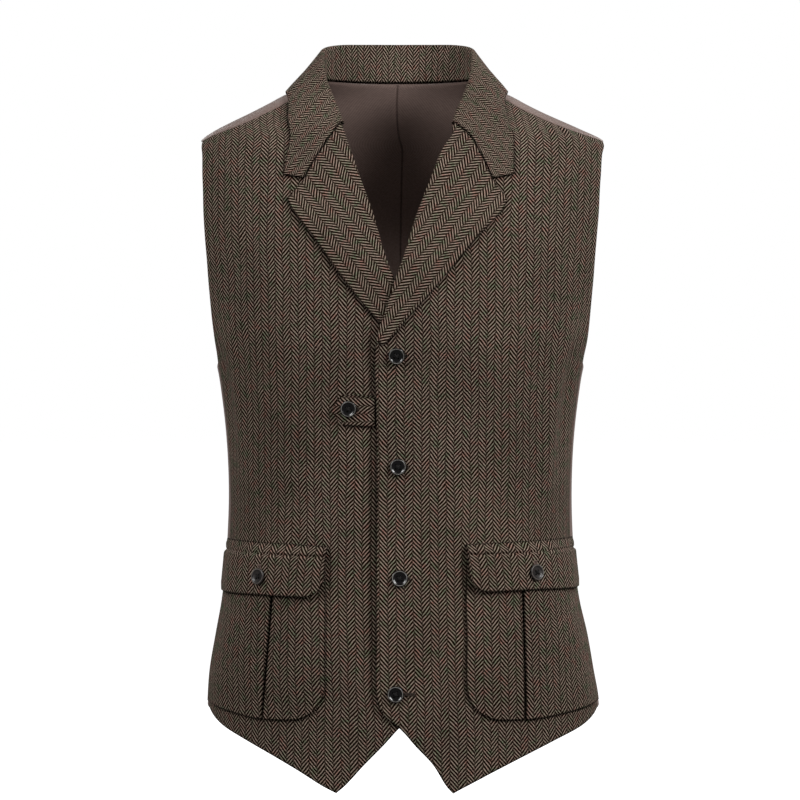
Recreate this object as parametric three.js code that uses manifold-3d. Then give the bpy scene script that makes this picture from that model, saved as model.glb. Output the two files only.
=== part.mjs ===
// A suit waistcoat with notched lapels, in the hollow form that it has when it is worn.
//
// Millimetres, +Z up. The origin is where the shoulders hold it, halfway between the shoulder
// ends. The fronts face -Y and the wearer's left is +X. Every panel is a cloth wall whose outer
// face follows one body surface, made of rings at named heights. A place on that surface is a
// pair of angle (degrees round the ring, 0 at the centre front, 180 at the centre back) and
// height. Pieces that lie on a panel are made from the same places, moved out along the surface.

import * as THREE from "three";
import Module from "manifold-3d";
import { mergeVertices } from "three/addons/utils/BufferGeometryUtils.js";

// Cloth and gaps
const clothThickness = 1.8;
const halfCloth = clothThickness / 2;
const layerGap = 0.72;
const layerStep = clothThickness + layerGap;

// Seams
const sideSeamAngle = 80;
const seamGapAngle = 0.12;
const shoulderGapAngle = 0.38;
const centreBackAngle = 179.91;
const chestHeight = -60;

// Buttons
const buttonRadius = 7.6;
const buttonThickness = 3.0;
const buttonRim = 1.3;
const buttonDish = 0.8;
const buttonHoleRadius = 0.9;
const buttonHoleSpread = 1.7;
const buttonSpan = 3;
const buttonSeat = 0.4;

// Body rings: the outer face of the worn cloth at each height. Depths run from the side line to
// the centre front and to the centre back; shift is how far the ring's middle lies to the left.
const bodyRoundness = 2.1;
const bodyRings = [
  { height: -640, halfWidth: 190, frontDepth: 132, backDepth: 116, shift: 4 },
  { height: -549, halfWidth: 185.3, frontDepth: 131, backDepth: 113, shift: 3 },
  { height: -519, halfWidth: 181.6, frontDepth: 130, backDepth: 110, shift: 1.5 },
  { height: -486, halfWidth: 175.8, frontDepth: 128, backDepth: 106, shift: 1.4 },
  { height: -456, halfWidth: 169.5, frontDepth: 126, backDepth: 102, shift: 0.6 },
  { height: -430, halfWidth: 166, frontDepth: 123.5, backDepth: 98, shift: 0.2 },
  { height: -396, halfWidth: 163.1, frontDepth: 119, backDepth: 94, shift: 0 },
  { height: -355, halfWidth: 162.3, frontDepth: 116, backDepth: 92, shift: 0.2 },
  { height: -300, halfWidth: 165, frontDepth: 117.5, backDepth: 99, shift: 0.2 },
  { height: -250, halfWidth: 171, frontDepth: 120.5, backDepth: 109, shift: 0.3 },
  { height: -228, halfWidth: 175.5, frontDepth: 121.5, backDepth: 113, shift: 0.4 },
  { height: -210, halfWidth: 181, frontDepth: 122, backDepth: 115, shift: 0.6 },
  { height: -183, halfWidth: 187, frontDepth: 121.5, backDepth: 117, shift: 0.6 },
  { height: -145, halfWidth: 195, frontDepth: 118.5, backDepth: 117, shift: 0.6 },
  { height: -110, halfWidth: 200, frontDepth: 113, backDepth: 114, shift: 0.5 },
  { height: -60, halfWidth: 203, frontDepth: 100, backDepth: 105, shift: 1.4 },
  { height: -35, halfWidth: 199, frontDepth: 90, backDepth: 97, shift: 2 },
  { height: -20, halfWidth: 191, frontDepth: 80, backDepth: 90, shift: 2 },
  { height: -10, halfWidth: 174, frontDepth: 72, backDepth: 85, shift: -1 },
  { height: 8, halfWidth: 136, frontDepth: 54, backDepth: 76, shift: -3 },
  { height: 27, halfWidth: 100, frontDepth: 31, backDepth: 68, shift: -3 },
  { height: 34, halfWidth: 84, frontDepth: 22, backDepth: 65, shift: -2.5 },
  { height: 42, halfWidth: 70, frontDepth: 12, backDepth: 61, shift: -2 },
];

// Outlines. Each row gives a height, how far the outline lies across from the garment's centre
// line on either side, and where that centre line itself lies, because the fronts hang a
// little unevenly. A negative distance across is past the centre line.
const hemOutline = [
  { height: -568, across: 170.2, centre: 2.2 },
  { height: -579, across: 146.8, centre: 0.2 },
  { height: -591, across: 120.8, centre: -1.2 },
  { height: -605, across: 92.5, centre: -3 },
  { height: -619.5, across: 65.5, centre: -5.3 },
  { height: -625.5, across: 53.5, centre: -5 },
];
const cutawayOutline = [
  { height: -625.5, across: 53.5, centre: -5 },
  { height: -618, across: 45.8, centre: -4 },
  { height: -599, across: 31.2, centre: -1.2 },
  { height: -581, across: 14, centre: -0.7 },
  { height: -565.5, across: 0, centre: -0.5 },
  { height: -558, across: -9.5, centre: -0.7 },
  { height: -550, across: -16.5, centre: -1 },
  { height: -535, across: -20.5, centre: -1 },
];
const closingEdgeOutline = [
  { height: -535, across: -20.5, centre: -1 },
  { height: -412, across: -20.5, centre: -1 },
  { height: -266, across: -21, centre: -1 },
  { height: -235, across: -22, centre: -1.3 },
  { height: -217, across: -20.8, centre: -1.3 },
];
const rollLine = [
  { height: -213, across: -20.2, centre: -1.3 },
  { height: -196, across: -14.6, centre: -2.8 },
  { height: -185, across: -9.4, centre: -3.6 },
  { height: -155, across: 0.6, centre: -4.6 },
  { height: -133, across: 8.7, centre: -4.9 },
  { height: -96, across: 19.6, centre: -4.6 },
  { height: -62, across: 32, centre: -4 },
  { height: -34, across: 42.5, centre: -3.4 },
  { height: -11, across: 50.8, centre: -2.3 },
];
const frontNeckOutline = [
  { height: -11, across: 53.2, centre: -2.3 },
  { height: -2, across: 58, centre: -2 },
  { height: 6.5, across: 61.6, centre: -2 },
  { height: 14.5, across: 65.3, centre: -2 },
  { height: 22.5, across: 69, centre: -2 },
  { height: 30, across: 71.8, centre: -2 },
  { height: 37, across: 73.2, centre: -2 },
];
const shoulderSeamOutline = [
  { height: -21.5, across: 189.2, centre: 2.6 },
  { height: -17, across: 176.8, centre: -0.6 },
  { height: -10, across: 156.2, centre: -1.5 },
  { height: -3, across: 138.8, centre: -1.4 },
  { height: 7, across: 118.4, centre: -2 },
  { height: 16, across: 103, centre: -1.4 },
  { height: 26, across: 89, centre: -1.6 },
  { height: 37, across: 73.2, centre: -2 },
];
const frontArmholeOutline = [
  { height: -214, across: 174.9, centre: 0.9 },
  { height: -185, across: 178.2, centre: 0.8 },
  { height: -160, across: 180.2, centre: 0.8 },
  { height: -130, across: 182.4, centre: 0.8 },
  { height: -95, across: 185.3, centre: 1 },
  { height: -60, across: 187, centre: 1.4 },
  { height: -36, across: 188.4, centre: 2 },
  { height: -21.5, across: 189.2, centre: 2.6 },
];
const armholeFootHeight = -231;
const sideHemHeight = -556;

// The back's own edges, as places on the body surface
const backArmholeEdge = [
  { angle: 80, height: -231 },
  { angle: 86, height: -234.8 },
  { angle: 92, height: -236.5 },
  { angle: 98, height: -233.5 },
  { angle: 104, height: -224.5 },
  { angle: 109, height: -206 },
  { angle: 112, height: -180 },
  { angle: 113.5, height: -145 },
  { angle: 114, height: -110 },
  { angle: 114, height: -82 },
  { angle: 113, height: -58 },
  { angle: 110, height: -38 },
  { angle: 103, height: -25.5 },
  { angle: 93, height: -19.6 },
  { angle: 80.5, height: -21.5 },
];
const underarmLine = [
  { angle: 80, height: -231 },
  { angle: 86, height: -239 },
  { angle: 92, height: -245 },
  { angle: 100, height: -249 },
  { angle: 115, height: -250 },
  { angle: 180, height: -250 },
];
const backNeckEdge = [
  { angle: 67.8, height: 37 },
  { angle: 84, height: 38.3 },
  { angle: 104, height: 39.3 },
  { angle: 130, height: 40 },
  { angle: 156, height: 40 },
  { angle: 180, height: 40 },
];
const backHemEdge = [
  { angle: 80, height: -556 },
  { angle: 100, height: -553 },
  { angle: 130, height: -545 },
  { angle: 160, height: -539 },
  { angle: 180, height: -537 },
];

// Lapel and collar
const lapelEdgeOutline = [
  { height: -216, across: -13.5, centre: -1.8 },
  { height: -207, across: -0.2, centre: -5.3 },
  { height: -191, across: 14.7, centre: -7.4 },
  { height: -170, across: 33.4, centre: -7 },
  { height: -147, across: 51.8, centre: -6.2 },
  { height: -118, across: 73.6, centre: -4.1 },
  { height: -92, across: 95.5, centre: -2.2 },
  { height: -80.5, across: 101.1, centre: -2.3 },
];
const gorgeNotch = { height: -63, across: 87, centre: -1.7 };
const lapelTip = { height: -80.5, across: 101.1, centre: -2.3 };
const collarTip = { height: -58, across: 106, centre: -1.4 };
const gorgeGap = 1.7;
const lapelPuff = 2.2;
const lapelEase = 0.5;
const rollInset = 2.4;
// The lapel's section where it rolls round the front's edge: how far in from the roll line and
// how far out from the panel's outer face its two faces lie.
const rollSection = [
  { outerIn: 0, outerRise: -1.8, innerIn: 1.7, innerRise: -1.8 },
  { outerIn: 0, outerRise: 0.9, innerIn: 1.75, innerRise: 0.4 },
  { outerIn: 0.8, outerRise: 2.2, innerIn: 2.1, innerRise: 0.6 },
];
const lapelStart = 2.8;
const notchColumn = 4;
// Collar stations from the gorge to the centre back. The leaf's edge is an angle and a height on
// the body surface, and the fold is a point in space beside the centre line.
const collarShift = -2;
const shoulderStation = 6;
const standStart = { height: -8.5, across: 54.4, centre: -2.2 };
const standFrontGap = 1.75;
const standBackGap = 1.3;
const foldRadius = 2.2;
const leafBulge = 2.0;
const leafEase = 0.65;
const collarStations = [
  { fold: [51, -69.4, -8.3], edge: [30.2, -57.5] },
  { fold: [55.7, -58, 5], edge: [30.4, -37] },
  { fold: [60.5, -46, 16], edge: [31.5, -21] },
  { fold: [64.8, -34, 27], edge: [36, -8] },
  { fold: [68.8, -22, 38], edge: [46, 6.5] },
  { fold: [70.9, -12, 48], edge: [61, 18.5] },
  { fold: [72, -2, 57], edge: [88, 26.5] },
  { fold: [70.5, 22, 69], edge: [113, 26] },
  { fold: [57, 47, 75], edge: [134, 25] },
  { fold: [32, 63, 77], edge: [157, 24] },
  { fold: [0, 69, 77.5], edge: [180, 24] },
];

// The two sides of the wearer. The left front closes on top of the right one.
const underEdgeAt = 20;
const sides = [
  {
    name: "right",
    sign: -1,
    onTop: false,
    pocket: { front: 68, top: -415, foot: -560, corner: 34, sideFoot: -549 },
    pleat: [
      { height: -440, across: 115.4 },
      { height: -500, across: 120.4 },
      { height: -560, across: 125.9 },
    ],
    flap: { front: 65.8, top: -400.5, sideTop: -396, foot: -447.5, sideFoot: -445, corner: 19 },
    flapButton: { height: -430, across: 125 },
  },
  {
    name: "left",
    sign: 1,
    onTop: true,
    pocket: { front: 60.3, top: -412, foot: -559.5, corner: 34, sideFoot: -548 },
    pleat: [
      { height: -440, across: 111.2 },
      { height: -500, across: 113 },
      { height: -560, across: 114.2 },
    ],
    flap: { front: 59.6, top: -398.5, sideTop: -394.5, foot: -442.5, sideFoot: -441.5, corner: 17 },
    flapButton: { height: -426.3, across: 120.4 },
  },
];
const [rightSide, leftSide] = sides;

// Pockets
const pocketEndAngle = 79.2;
const pocketEdgeKnot = -480;
const pocketFootBend = { fromFront: 62, across: 150, rise: 3.5 };
const pocketPuff = 1.6;
const pleatStep = 0.9;
const pleatWidth = 1.4;
const flapEndAngle = 79.6;
const flapRise = 0.8;
const flapFadeAngle = 66;
const flapEndTurn = 3.2;
const flapEndLift = 7;
const flapTaper = 1.5;
const flapTopBend = 110;
const flapFootBend = { across: 118, rise: 0.6 };
const cornerMiddle = 45;
const cornerSteps = 3;

// Tab on the under front and the closing's buttons, as distances from the body's middle
const tabOutline = {
  root: 22.6,
  shoulder: 52.5,
  tip: 63.5,
  top: -262.5,
  bottom: -290.5,
  shoulderDrop: 1.5,
  tipHeight: -275.5,
};
const tabButtonPlace = { height: -274, across: 46.4 };
const frontButtonPlaces = [
  { height: -225.5, across: -3.1 },
  { height: -327.2, across: -1.8 },
  { height: -429.7, across: -0.3 },
  { height: -534.6, across: -4 },
];

// Soft folds of the worn cloth: where each lies, how far it spreads and how far it stands out.
const folds = [
  { side: 1, angle: 57, height: -288, spread: 5, reach: 70, rise: 3.0 },
  { side: 1, angle: 66, height: -275, spread: 4.5, reach: 55, rise: -2.4 },
  { side: -1, angle: 63, height: -262, spread: 5, reach: 60, rise: 1.8 },
  { side: -1, angle: 71, height: -275, spread: 4, reach: 50, rise: -1.6 },
  { side: 1, angle: 103, height: -330, spread: 6, reach: 90, rise: 2.6 },
  { side: -1, angle: 105, height: -345, spread: 6, reach: 80, rise: 2.2 },
  { side: 1, angle: 146, height: -350, spread: 9, reach: 110, rise: 3.2 },
  { side: -1, angle: 149, height: -335, spread: 9, reach: 120, rise: 3.0 },
  { side: 1, angle: 128, height: -150, spread: 7, reach: 60, rise: 2.2 },
  { side: -1, angle: 127, height: -160, spread: 7, reach: 55, rise: 2.4 },
];

const materials = {
  tweed: new THREE.MeshStandardMaterial({ color: 0x4d4038, roughness: 0.95, metalness: 0 }),
  satin: new THREE.MeshStandardMaterial({ color: 0x8b7872, roughness: 0.55, metalness: 0 }),
  glossyButton: new THREE.MeshStandardMaterial({ color: 0x0e0d0f, roughness: 0.15, metalness: 0 }),
  dullButton: new THREE.MeshStandardMaterial({ color: 0x332e2e, roughness: 0.4, metalness: 0 }),
};

const wasm = await Module();
wasm.setup();

function radians(degrees) {
  return (degrees * Math.PI) / 180;
}

function clamp(value, low, high) {
  return Math.min(high, Math.max(low, value));
}

// 0 below low, 1 above high, and smooth between them
function smoothStep(value, low, high) {
  const share = clamp((value - low) / (high - low), 0, 1);
  return share * share * (3 - 2 * share);
}

// A smooth curve through values at rising knots
function curveThrough(knots, values, at) {
  const last = knots.length - 1;
  const slope = (k) => {
    const before = Math.max(0, k - 1);
    const after = Math.min(last, k + 1);
    return (values[after] - values[before]) / (knots[after] - knots[before]);
  };
  let k = 0;
  while (k < last - 1 && at > knots[k + 1]) k += 1;
  const span = knots[k + 1] - knots[k];
  const t = clamp((at - knots[k]) / span, 0, 1);
  const startWeight = (1 + 2 * t) * (1 - t) * (1 - t);
  const startSlope = t * (1 - t) * (1 - t) * span;
  const endSlope = t * t * (t - 1) * span;
  return (
    startWeight * values[k] +
    (1 - startWeight) * values[k + 1] +
    startSlope * slope(k) +
    endSlope * slope(k + 1)
  );
}

const ringHeights = bodyRings.map((ring) => ring.height);
const ringColumns = {};
for (const column of ["halfWidth", "frontDepth", "backDepth", "shift"]) {
  ringColumns[column] = bodyRings.map((ring) => ring[column]);
}

function ringAt(height, column) {
  return curveThrough(ringHeights, ringColumns[column], height);
}

function signedPower(value, power) {
  return Math.sign(value) * Math.abs(value) ** power;
}

// A point of the body surface. The angle is on the given side of the wearer.
function bodyPoint(side, angle, height) {
  const sine = signedPower(Math.sin(radians(angle)), 2 / bodyRoundness);
  const cosine = signedPower(Math.cos(radians(angle)), 2 / bodyRoundness);
  const depth = ringAt(height, cosine > 0 ? "frontDepth" : "backDepth");
  return new THREE.Vector3(
    ringAt(height, "shift") + side.sign * sine * ringAt(height, "halfWidth"),
    -cosine * depth,
    height,
  );
}

function bodyNormal(side, angle, height) {
  const angleStep = 0.6;
  const heightStep = 1;
  const along = bodyPoint(side, angle + angleStep, height).sub(bodyPoint(side, angle - angleStep, height));
  const up = bodyPoint(side, angle, height + heightStep).sub(bodyPoint(side, angle, height - heightStep));
  return along.cross(up).multiplyScalar(side.sign).normalize();
}

// Below 0 inside the body surface, 0 on it and above 0 outside it
function bodyMeasure(point) {
  const height = clamp(point.z, ringHeights[0], ringHeights.at(-1));
  const depth = ringAt(height, point.y < 0 ? "frontDepth" : "backDepth");
  const x = Math.abs(point.x - ringAt(height, "shift")) / ringAt(height, "halfWidth");
  const y = Math.abs(point.y) / depth;
  return (x ** bodyRoundness + y ** bodyRoundness) ** (1 / bodyRoundness) - 1;
}

// How far a point lies outside the body surface, and which way is out
function bodyDistance(point) {
  const step = 0.5;
  const change = (axis) => {
    const ahead = point.clone().addScaledVector(axis, step);
    const behind = point.clone().addScaledVector(axis, -step);
    return (bodyMeasure(ahead) - bodyMeasure(behind)) / (2 * step);
  };
  const gradient = new THREE.Vector3(
    change(new THREE.Vector3(1, 0, 0)),
    change(new THREE.Vector3(0, 1, 0)),
    change(new THREE.Vector3(0, 0, 1)),
  );
  const steepness = gradient.length();
  return { distance: bodyMeasure(point) / steepness, out: gradient.divideScalar(steepness) };
}

// The angle at which the body surface lies a given distance across from a centre line
function angleAt(side, { height, across, centre = 0 }) {
  const fromMiddle = across + side.sign * (centre - ringAt(height, "shift"));
  const share = clamp(fromMiddle / ringAt(height, "halfWidth"), -1, 1);
  return (Math.asin(signedPower(share, bodyRoundness / 2)) * 180) / Math.PI;
}

function placeAt(side, row) {
  return { angle: angleAt(side, row), height: row.height };
}

// The chest keeps its full width up to the shoulder when a front is laid out flat, so that the
// front's columns of points run evenly up to the narrow rings of the neck.
function laidWidth(height) {
  return ringAt(Math.min(height, chestHeight), "halfWidth");
}

function layOut({ angle, height }) {
  const across = signedPower(Math.sin(radians(angle)), 2 / bodyRoundness) * ringAt(height, "halfWidth");
  return { angle: Math.asin(across / laidWidth(height)), height };
}

function takeUp(side, { angle, height }) {
  const across = Math.sin(angle) * laidWidth(height);
  return placeAt(side, { height, across, centre: ringAt(height, "shift") });
}

function foldRise(side, angle, height) {
  let rise = 0;
  for (const fold of folds) {
    if (fold.side !== side.sign) continue;
    const across = (angle - fold.angle) / fold.spread;
    const along = (height - fold.height) / fold.reach;
    rise += fold.rise * Math.exp(-across * across - along * along);
  }
  return rise;
}

// How far the closing's top front is lifted by the under front and by the lapel under it
function closingLift(side, point) {
  if (!side.onTop || point.y > 0) return 0;
  const overUnderFront = 1 - smoothStep(point.x, underEdgeAt + 2, underEdgeAt + 40);
  const belowNeck = 1 - smoothStep(point.z, -148, -90);
  const overUnderLapel = smoothStep(point.z, -242, -216);
  return overUnderFront * belowNeck * layerStep * (1 + overUnderLapel);
}

// A point on a layer of cloth that lies a given rise above the panel's outer face
function layerPoint(side, place, rise) {
  const point = bodyPoint(side, place.angle, place.height);
  const out = foldRise(side, place.angle, place.height) + closingLift(side, point) + rise;
  return point.addScaledVector(bodyNormal(side, place.angle, place.height), out);
}

// Places spread evenly along a smooth curve through the given ones
function spread(side, places, count) {
  const knots = [0];
  for (let k = 1; k < places.length; k += 1) {
    const from = bodyPoint(side, places[k - 1].angle, places[k - 1].height);
    const to = bodyPoint(side, places[k].angle, places[k].height);
    knots.push(knots[k - 1] + from.distanceTo(to));
  }
  const angles = places.map((place) => place.angle);
  const heights = places.map((place) => place.height);
  return Array.from({ length: count + 1 }, (_, k) => {
    const at = (k / count) * knots[knots.length - 1];
    return { angle: curveThrough(knots, angles, at), height: curveThrough(knots, heights, at) };
  });
}

function spreadRows(side, rows, count) {
  return spread(side, rows.map((row) => placeAt(side, row)), count);
}

// Runs of places joined end to end, each run starting where the last one ends
function joinRuns(...runs) {
  return runs.flatMap((run, k) => (k === 0 ? run : run.slice(1)));
}

const bendFade = 3;

// A grid of places that fills the space between four edges. The first and last edges run up,
// and the bottom and top edges run from the first edge to the last one. How the bottom and top
// bend away from straight lines fades quickly towards the grid's middle.
function fillPatch(first, last, bottom, top) {
  const rows = first.length - 1;
  const columns = bottom.length - 1;
  const bend = (edge, key, c) =>
    edge[c][key] - edge[0][key] - (c / columns) * (edge[columns][key] - edge[0][key]);
  const blend = (key, r, c) => {
    const u = c / columns;
    const v = r / rows;
    const straight = (1 - u) * first[r][key] + u * last[r][key];
    return straight + (1 - v) ** bendFade * bend(bottom, key, c) + v ** bendFade * bend(top, key, c);
  };
  const placeOn = (r, c) => ({ angle: blend("angle", r, c), height: blend("height", r, c) });
  return first.map((_, r) => bottom.map((_, c) => placeOn(r, c)));
}

// A closed wall between two grids of points of the same size
function wallGeometry(outer, inner) {
  const rows = outer.length;
  const columns = outer[0].length;
  const positions = [outer, inner].flat(2).flatMap((point) => [point.x, point.y, point.z]);
  const index = (layer, r, c) => (layer * rows + r) * columns + c;
  const faces = [];
  const quad = (a, b, c, d) => faces.push(a, b, c, a, c, d);
  for (let r = 0; r < rows - 1; r += 1) {
    for (let c = 0; c < columns - 1; c += 1) {
      quad(index(0, r, c), index(0, r, c + 1), index(0, r + 1, c + 1), index(0, r + 1, c));
      quad(index(1, r, c), index(1, r + 1, c), index(1, r + 1, c + 1), index(1, r, c + 1));
    }
  }
  const rim = [];
  for (let c = 0; c < columns - 1; c += 1) rim.push([0, c]);
  for (let r = 0; r < rows - 1; r += 1) rim.push([r, columns - 1]);
  for (let c = columns - 1; c > 0; c -= 1) rim.push([rows - 1, c]);
  for (let r = rows - 1; r > 0; r -= 1) rim.push([r, 0]);
  rim.forEach((from, k) => {
    const to = rim[(k + 1) % rim.length];
    quad(index(0, ...from), index(1, ...from), index(1, ...to), index(0, ...to));
  });
  return faceOutward(positions, faces);
}

// A geometry whose triangles face out, whichever way the grid ran
function faceOutward(positions, faces) {
  const corner = (k) => new THREE.Vector3().fromArray(positions, 3 * k);
  let volume = 0;
  for (let k = 0; k < faces.length; k += 3) {
    volume += corner(faces[k]).dot(corner(faces[k + 1]).cross(corner(faces[k + 2])));
  }
  const ordered = volume > 0 ? faces : faces.slice().reverse();
  const geometry = new THREE.BufferGeometry();
  geometry.setAttribute("position", new THREE.Float32BufferAttribute(positions, 3));
  geometry.setIndex(ordered);
  geometry.computeVertexNormals();
  return geometry;
}

function namedMesh(name, geometry, material) {
  const mesh = new THREE.Mesh(geometry, material);
  mesh.name = name;
  return mesh;
}

// A wall of cloth over a grid of places. riseAt gives the inner face's height over the panel.
function clothWall(side, grid, riseAt) {
  const face = (extra) =>
    grid.map((row) => row.map((place) => layerPoint(side, place, riseAt(place) + extra)));
  return wallGeometry(face(clothThickness), face(0));
}

// Fronts

const closingRows = 12;
const cutawayRows = 5;
const rollRows = 14;
const neckRows = 4;
const frontColumns = 12;

function moved(rows, inset) {
  return rows.map((row) => ({ ...row, across: row.across + inset }));
}

function sideSeam(side, hemHeight, angle, rows) {
  return spread(side, [{ angle, height: hemHeight }, { angle, height: armholeFootHeight }], rows);
}

// The roll line's places, moved in from the line by a distance over the front
function rollPlaces(side, distance) {
  const line = spreadRows(side, rollLine, rollRows);
  const inward = spreadRows(side, moved(rollLine, lapelStart), rollRows);
  const share = distance / lapelStart;
  return line.map((place, r) => ({
    angle: place.angle + share * (inward[r].angle - place.angle),
    height: place.height + share * (inward[r].height - place.height),
  }));
}

function frontPanel(side) {
  const seamAngle = sideSeamAngle - seamGapAngle;
  const seam = sideSeam(side, sideHemHeight, seamAngle, cutawayRows + closingRows);
  const armFoot = { angle: seamAngle, height: armholeFootHeight };
  const armhole = spread(
    side,
    [armFoot, ...frontArmholeOutline.map((row) => placeAt(side, row))],
    rollRows + neckRows + 1,
  );
  const rollEdge = rollPlaces(side, rollInset);
  const neck = frontNeckOutline.slice(1).map((row) => placeAt(side, row));
  const inner = joinRuns(
    spreadRows(side, cutawayOutline, cutawayRows),
    spreadRows(side, closingEdgeOutline, closingRows),
    [placeAt(side, closingEdgeOutline.at(-1)), rollEdge[0]],
    rollEdge,
    spread(side, [rollEdge.at(-1), ...neck], neckRows),
  );
  const hemStart = { angle: seamAngle, height: sideHemHeight };
  const hem = spread(side, [hemStart, ...hemOutline.map((row) => placeAt(side, row))], frontColumns);
  const shoulder = spreadRows(side, shoulderSeamOutline, frontColumns).map(({ angle, height }) => ({
    angle: angle - shoulderGapAngle,
    height,
  }));
  armhole[armhole.length - 1] = shoulder[0];
  inner[inner.length - 1] = shoulder.at(-1);
  const flat = [joinRuns(seam, armhole), inner, hem, shoulder].map((run) => run.map(layOut));
  const grid = fillPatch(...flat).map((row) => row.map((place) => takeUp(side, place)));
  return namedMesh(`front_${side.name}`, clothWall(side, grid, () => -clothThickness), materials.tweed);
}

// Backs

const shoulderColumns = frontColumns;
const backNeckColumns = 5;
const backArmholeRows = 11;
const backSeamRows = cutawayRows + closingRows;

// The place on the body surface that is nearest to a point
function placeOf(side, point) {
  const onBody = point.clone();
  const passes = 5;
  for (let k = 0; k < passes; k += 1) {
    const { distance, out } = bodyDistance(onBody);
    onBody.addScaledVector(out, -distance);
  }
  const height = onBody.z;
  const depth = ringAt(height, onBody.y < 0 ? "frontDepth" : "backDepth");
  const across = (side.sign * (onBody.x - ringAt(height, "shift"))) / ringAt(height, "halfWidth");
  const sine = signedPower(across, bodyRoundness / 2);
  const cosine = signedPower(-onBody.y / depth, bodyRoundness / 2);
  return { angle: (Math.atan2(sine, cosine) * 180) / Math.PI, height };
}

// A grid of places between four edges that bend in space: the points between the edges are
// blended in space first, and then brought back to the body surface.
function fillBentPatch(side, first, last, bottom, top) {
  const pointOf = ({ angle, height }) => bodyPoint(side, angle, height);
  const [firstPoints, lastPoints, bottomPoints, topPoints] = [first, last, bottom, top].map((edge) =>
    edge.map(pointOf),
  );
  const rows = first.length - 1;
  const columns = bottom.length - 1;
  const bend = (edge, c) => edge[c].clone().sub(edge[0].clone().lerp(edge[columns], c / columns));
  return first.map((_, r) =>
    bottom.map((_, c) => {
      if (r === 0) return bottom[c];
      if (r === rows) return top[c];
      if (c === 0) return first[r];
      if (c === columns) return last[r];
      const v = r / rows;
      const point = firstPoints[r].clone().lerp(lastPoints[r], c / columns);
      point.addScaledVector(bend(bottomPoints, c), (1 - v) ** bendFade);
      point.addScaledVector(bend(topPoints, c), v ** bendFade);
      return placeOf(side, point);
    }),
  );
}

function backPanel(side) {
  const seamAngle = sideSeamAngle + seamGapAngle;
  const withinSeams = (places) =>
    places.map(({ angle, height }) => ({ angle: clamp(angle, seamAngle, centreBackAngle), height }));
  const columns = shoulderColumns + backNeckColumns;
  const hem = withinSeams(spread(side, backHemEdge, columns));
  const underarm = withinSeams(spread(side, underarmLine, columns));
  const armhole = withinSeams(spread(side, backArmholeEdge, backArmholeRows));
  const shoulder = spreadRows(side, shoulderSeamOutline, shoulderColumns).map(({ angle, height }) => ({
    angle: angle + shoulderGapAngle,
    height,
  }));
  const neck = withinSeams(spread(side, backNeckEdge, backNeckColumns));
  const top = joinRuns(shoulder, neck);
  const centreRun = (from, to, rows) =>
    spread(side, [from.height, to.height].map((height) => ({ angle: centreBackAngle, height })), rows);
  const seam = sideSeam(side, sideHemHeight, seamAngle, backSeamRows);
  const lowerCentre = centreRun(hem.at(-1), underarm.at(-1), backSeamRows);
  const upperCentre = centreRun(underarm.at(-1), top.at(-1), backArmholeRows);
  armhole[backArmholeRows] = top[0];
  const grid = [
    ...fillPatch(seam, lowerCentre, hem, underarm),
    ...fillBentPatch(side, armhole, upperCentre, underarm, top).slice(1),
  ];
  return namedMesh(`back_${side.name}`, clothWall(side, grid, () => -clothThickness), materials.satin);
}

// Lapels

const lapelColumns = 6;

// How far a lapel stands off the front: flat at its edges and where the other front crosses it
function lapelRise(place, share, rowShare) {
  const clearOfClosing = smoothStep(place.height, -185, -120);
  const clearOfGorge = 1 - smoothStep(rowShare, 0.7, 1);
  const puff = lapelPuff * Math.sin(Math.PI * share) * clearOfGorge;
  return layerGap + (lapelEase + puff) * clearOfClosing;
}

function lapel(side) {
  const rolledEdge = rollPlaces(side, lapelStart);
  const edge = spreadRows(side, lapelEdgeOutline, rollRows);
  const bottom = spread(side, [rolledEdge[0], edge[0]], lapelColumns);
  const top = joinRuns(
    spread(side, [rolledEdge.at(-1), placeAt(side, gorgeNotch)], notchColumn),
    spreadRows(side, [gorgeNotch, lapelTip], lapelColumns - notchColumn),
  );
  const grid = fillPatch(rolledEdge, edge, bottom, top);
  const sections = rollSection.map((section) => ({
    ...section,
    outerPlaces: rollPlaces(side, section.outerIn),
    innerPlaces: rollPlaces(side, section.innerIn),
  }));
  const outer = [];
  const inner = [];
  grid.forEach((row, r) => {
    const rolled = sections.map((section) => ({
      outer: layerPoint(side, section.outerPlaces[r], section.outerRise),
      inner: layerPoint(side, section.innerPlaces[r], section.innerRise),
    }));
    const flat = row.map((place, c) => {
      const rise = lapelRise(place, c / lapelColumns, r / rollRows);
      return { outer: layerPoint(side, place, rise + clothThickness), inner: layerPoint(side, place, rise) };
    });
    outer.push([...rolled, ...flat].map((pair) => pair.outer));
    inner.push([...rolled, ...flat].map((pair) => pair.inner));
  });
  return namedMesh(`lapel_${side.name}`, wallGeometry(outer, inner), materials.tweed);
}

// Collar

const collarFrontRows = 9;
const collarBackRows = 7;
const standColumns = 2;
const foldColumns = 4;
const leafColumns = 7;
const leafNotchColumn = 5;
const collarEndReach = 5;

function keepOutside(point, clearance) {
  const passes = 4;
  for (let k = 0; k < passes; k += 1) {
    const { distance, out } = bodyDistance(point);
    if (distance < clearance) point.addScaledVector(out, clearance - distance);
  }
  return point;
}

const leafRise = layerGap + leafEase + halfCloth;

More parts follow.
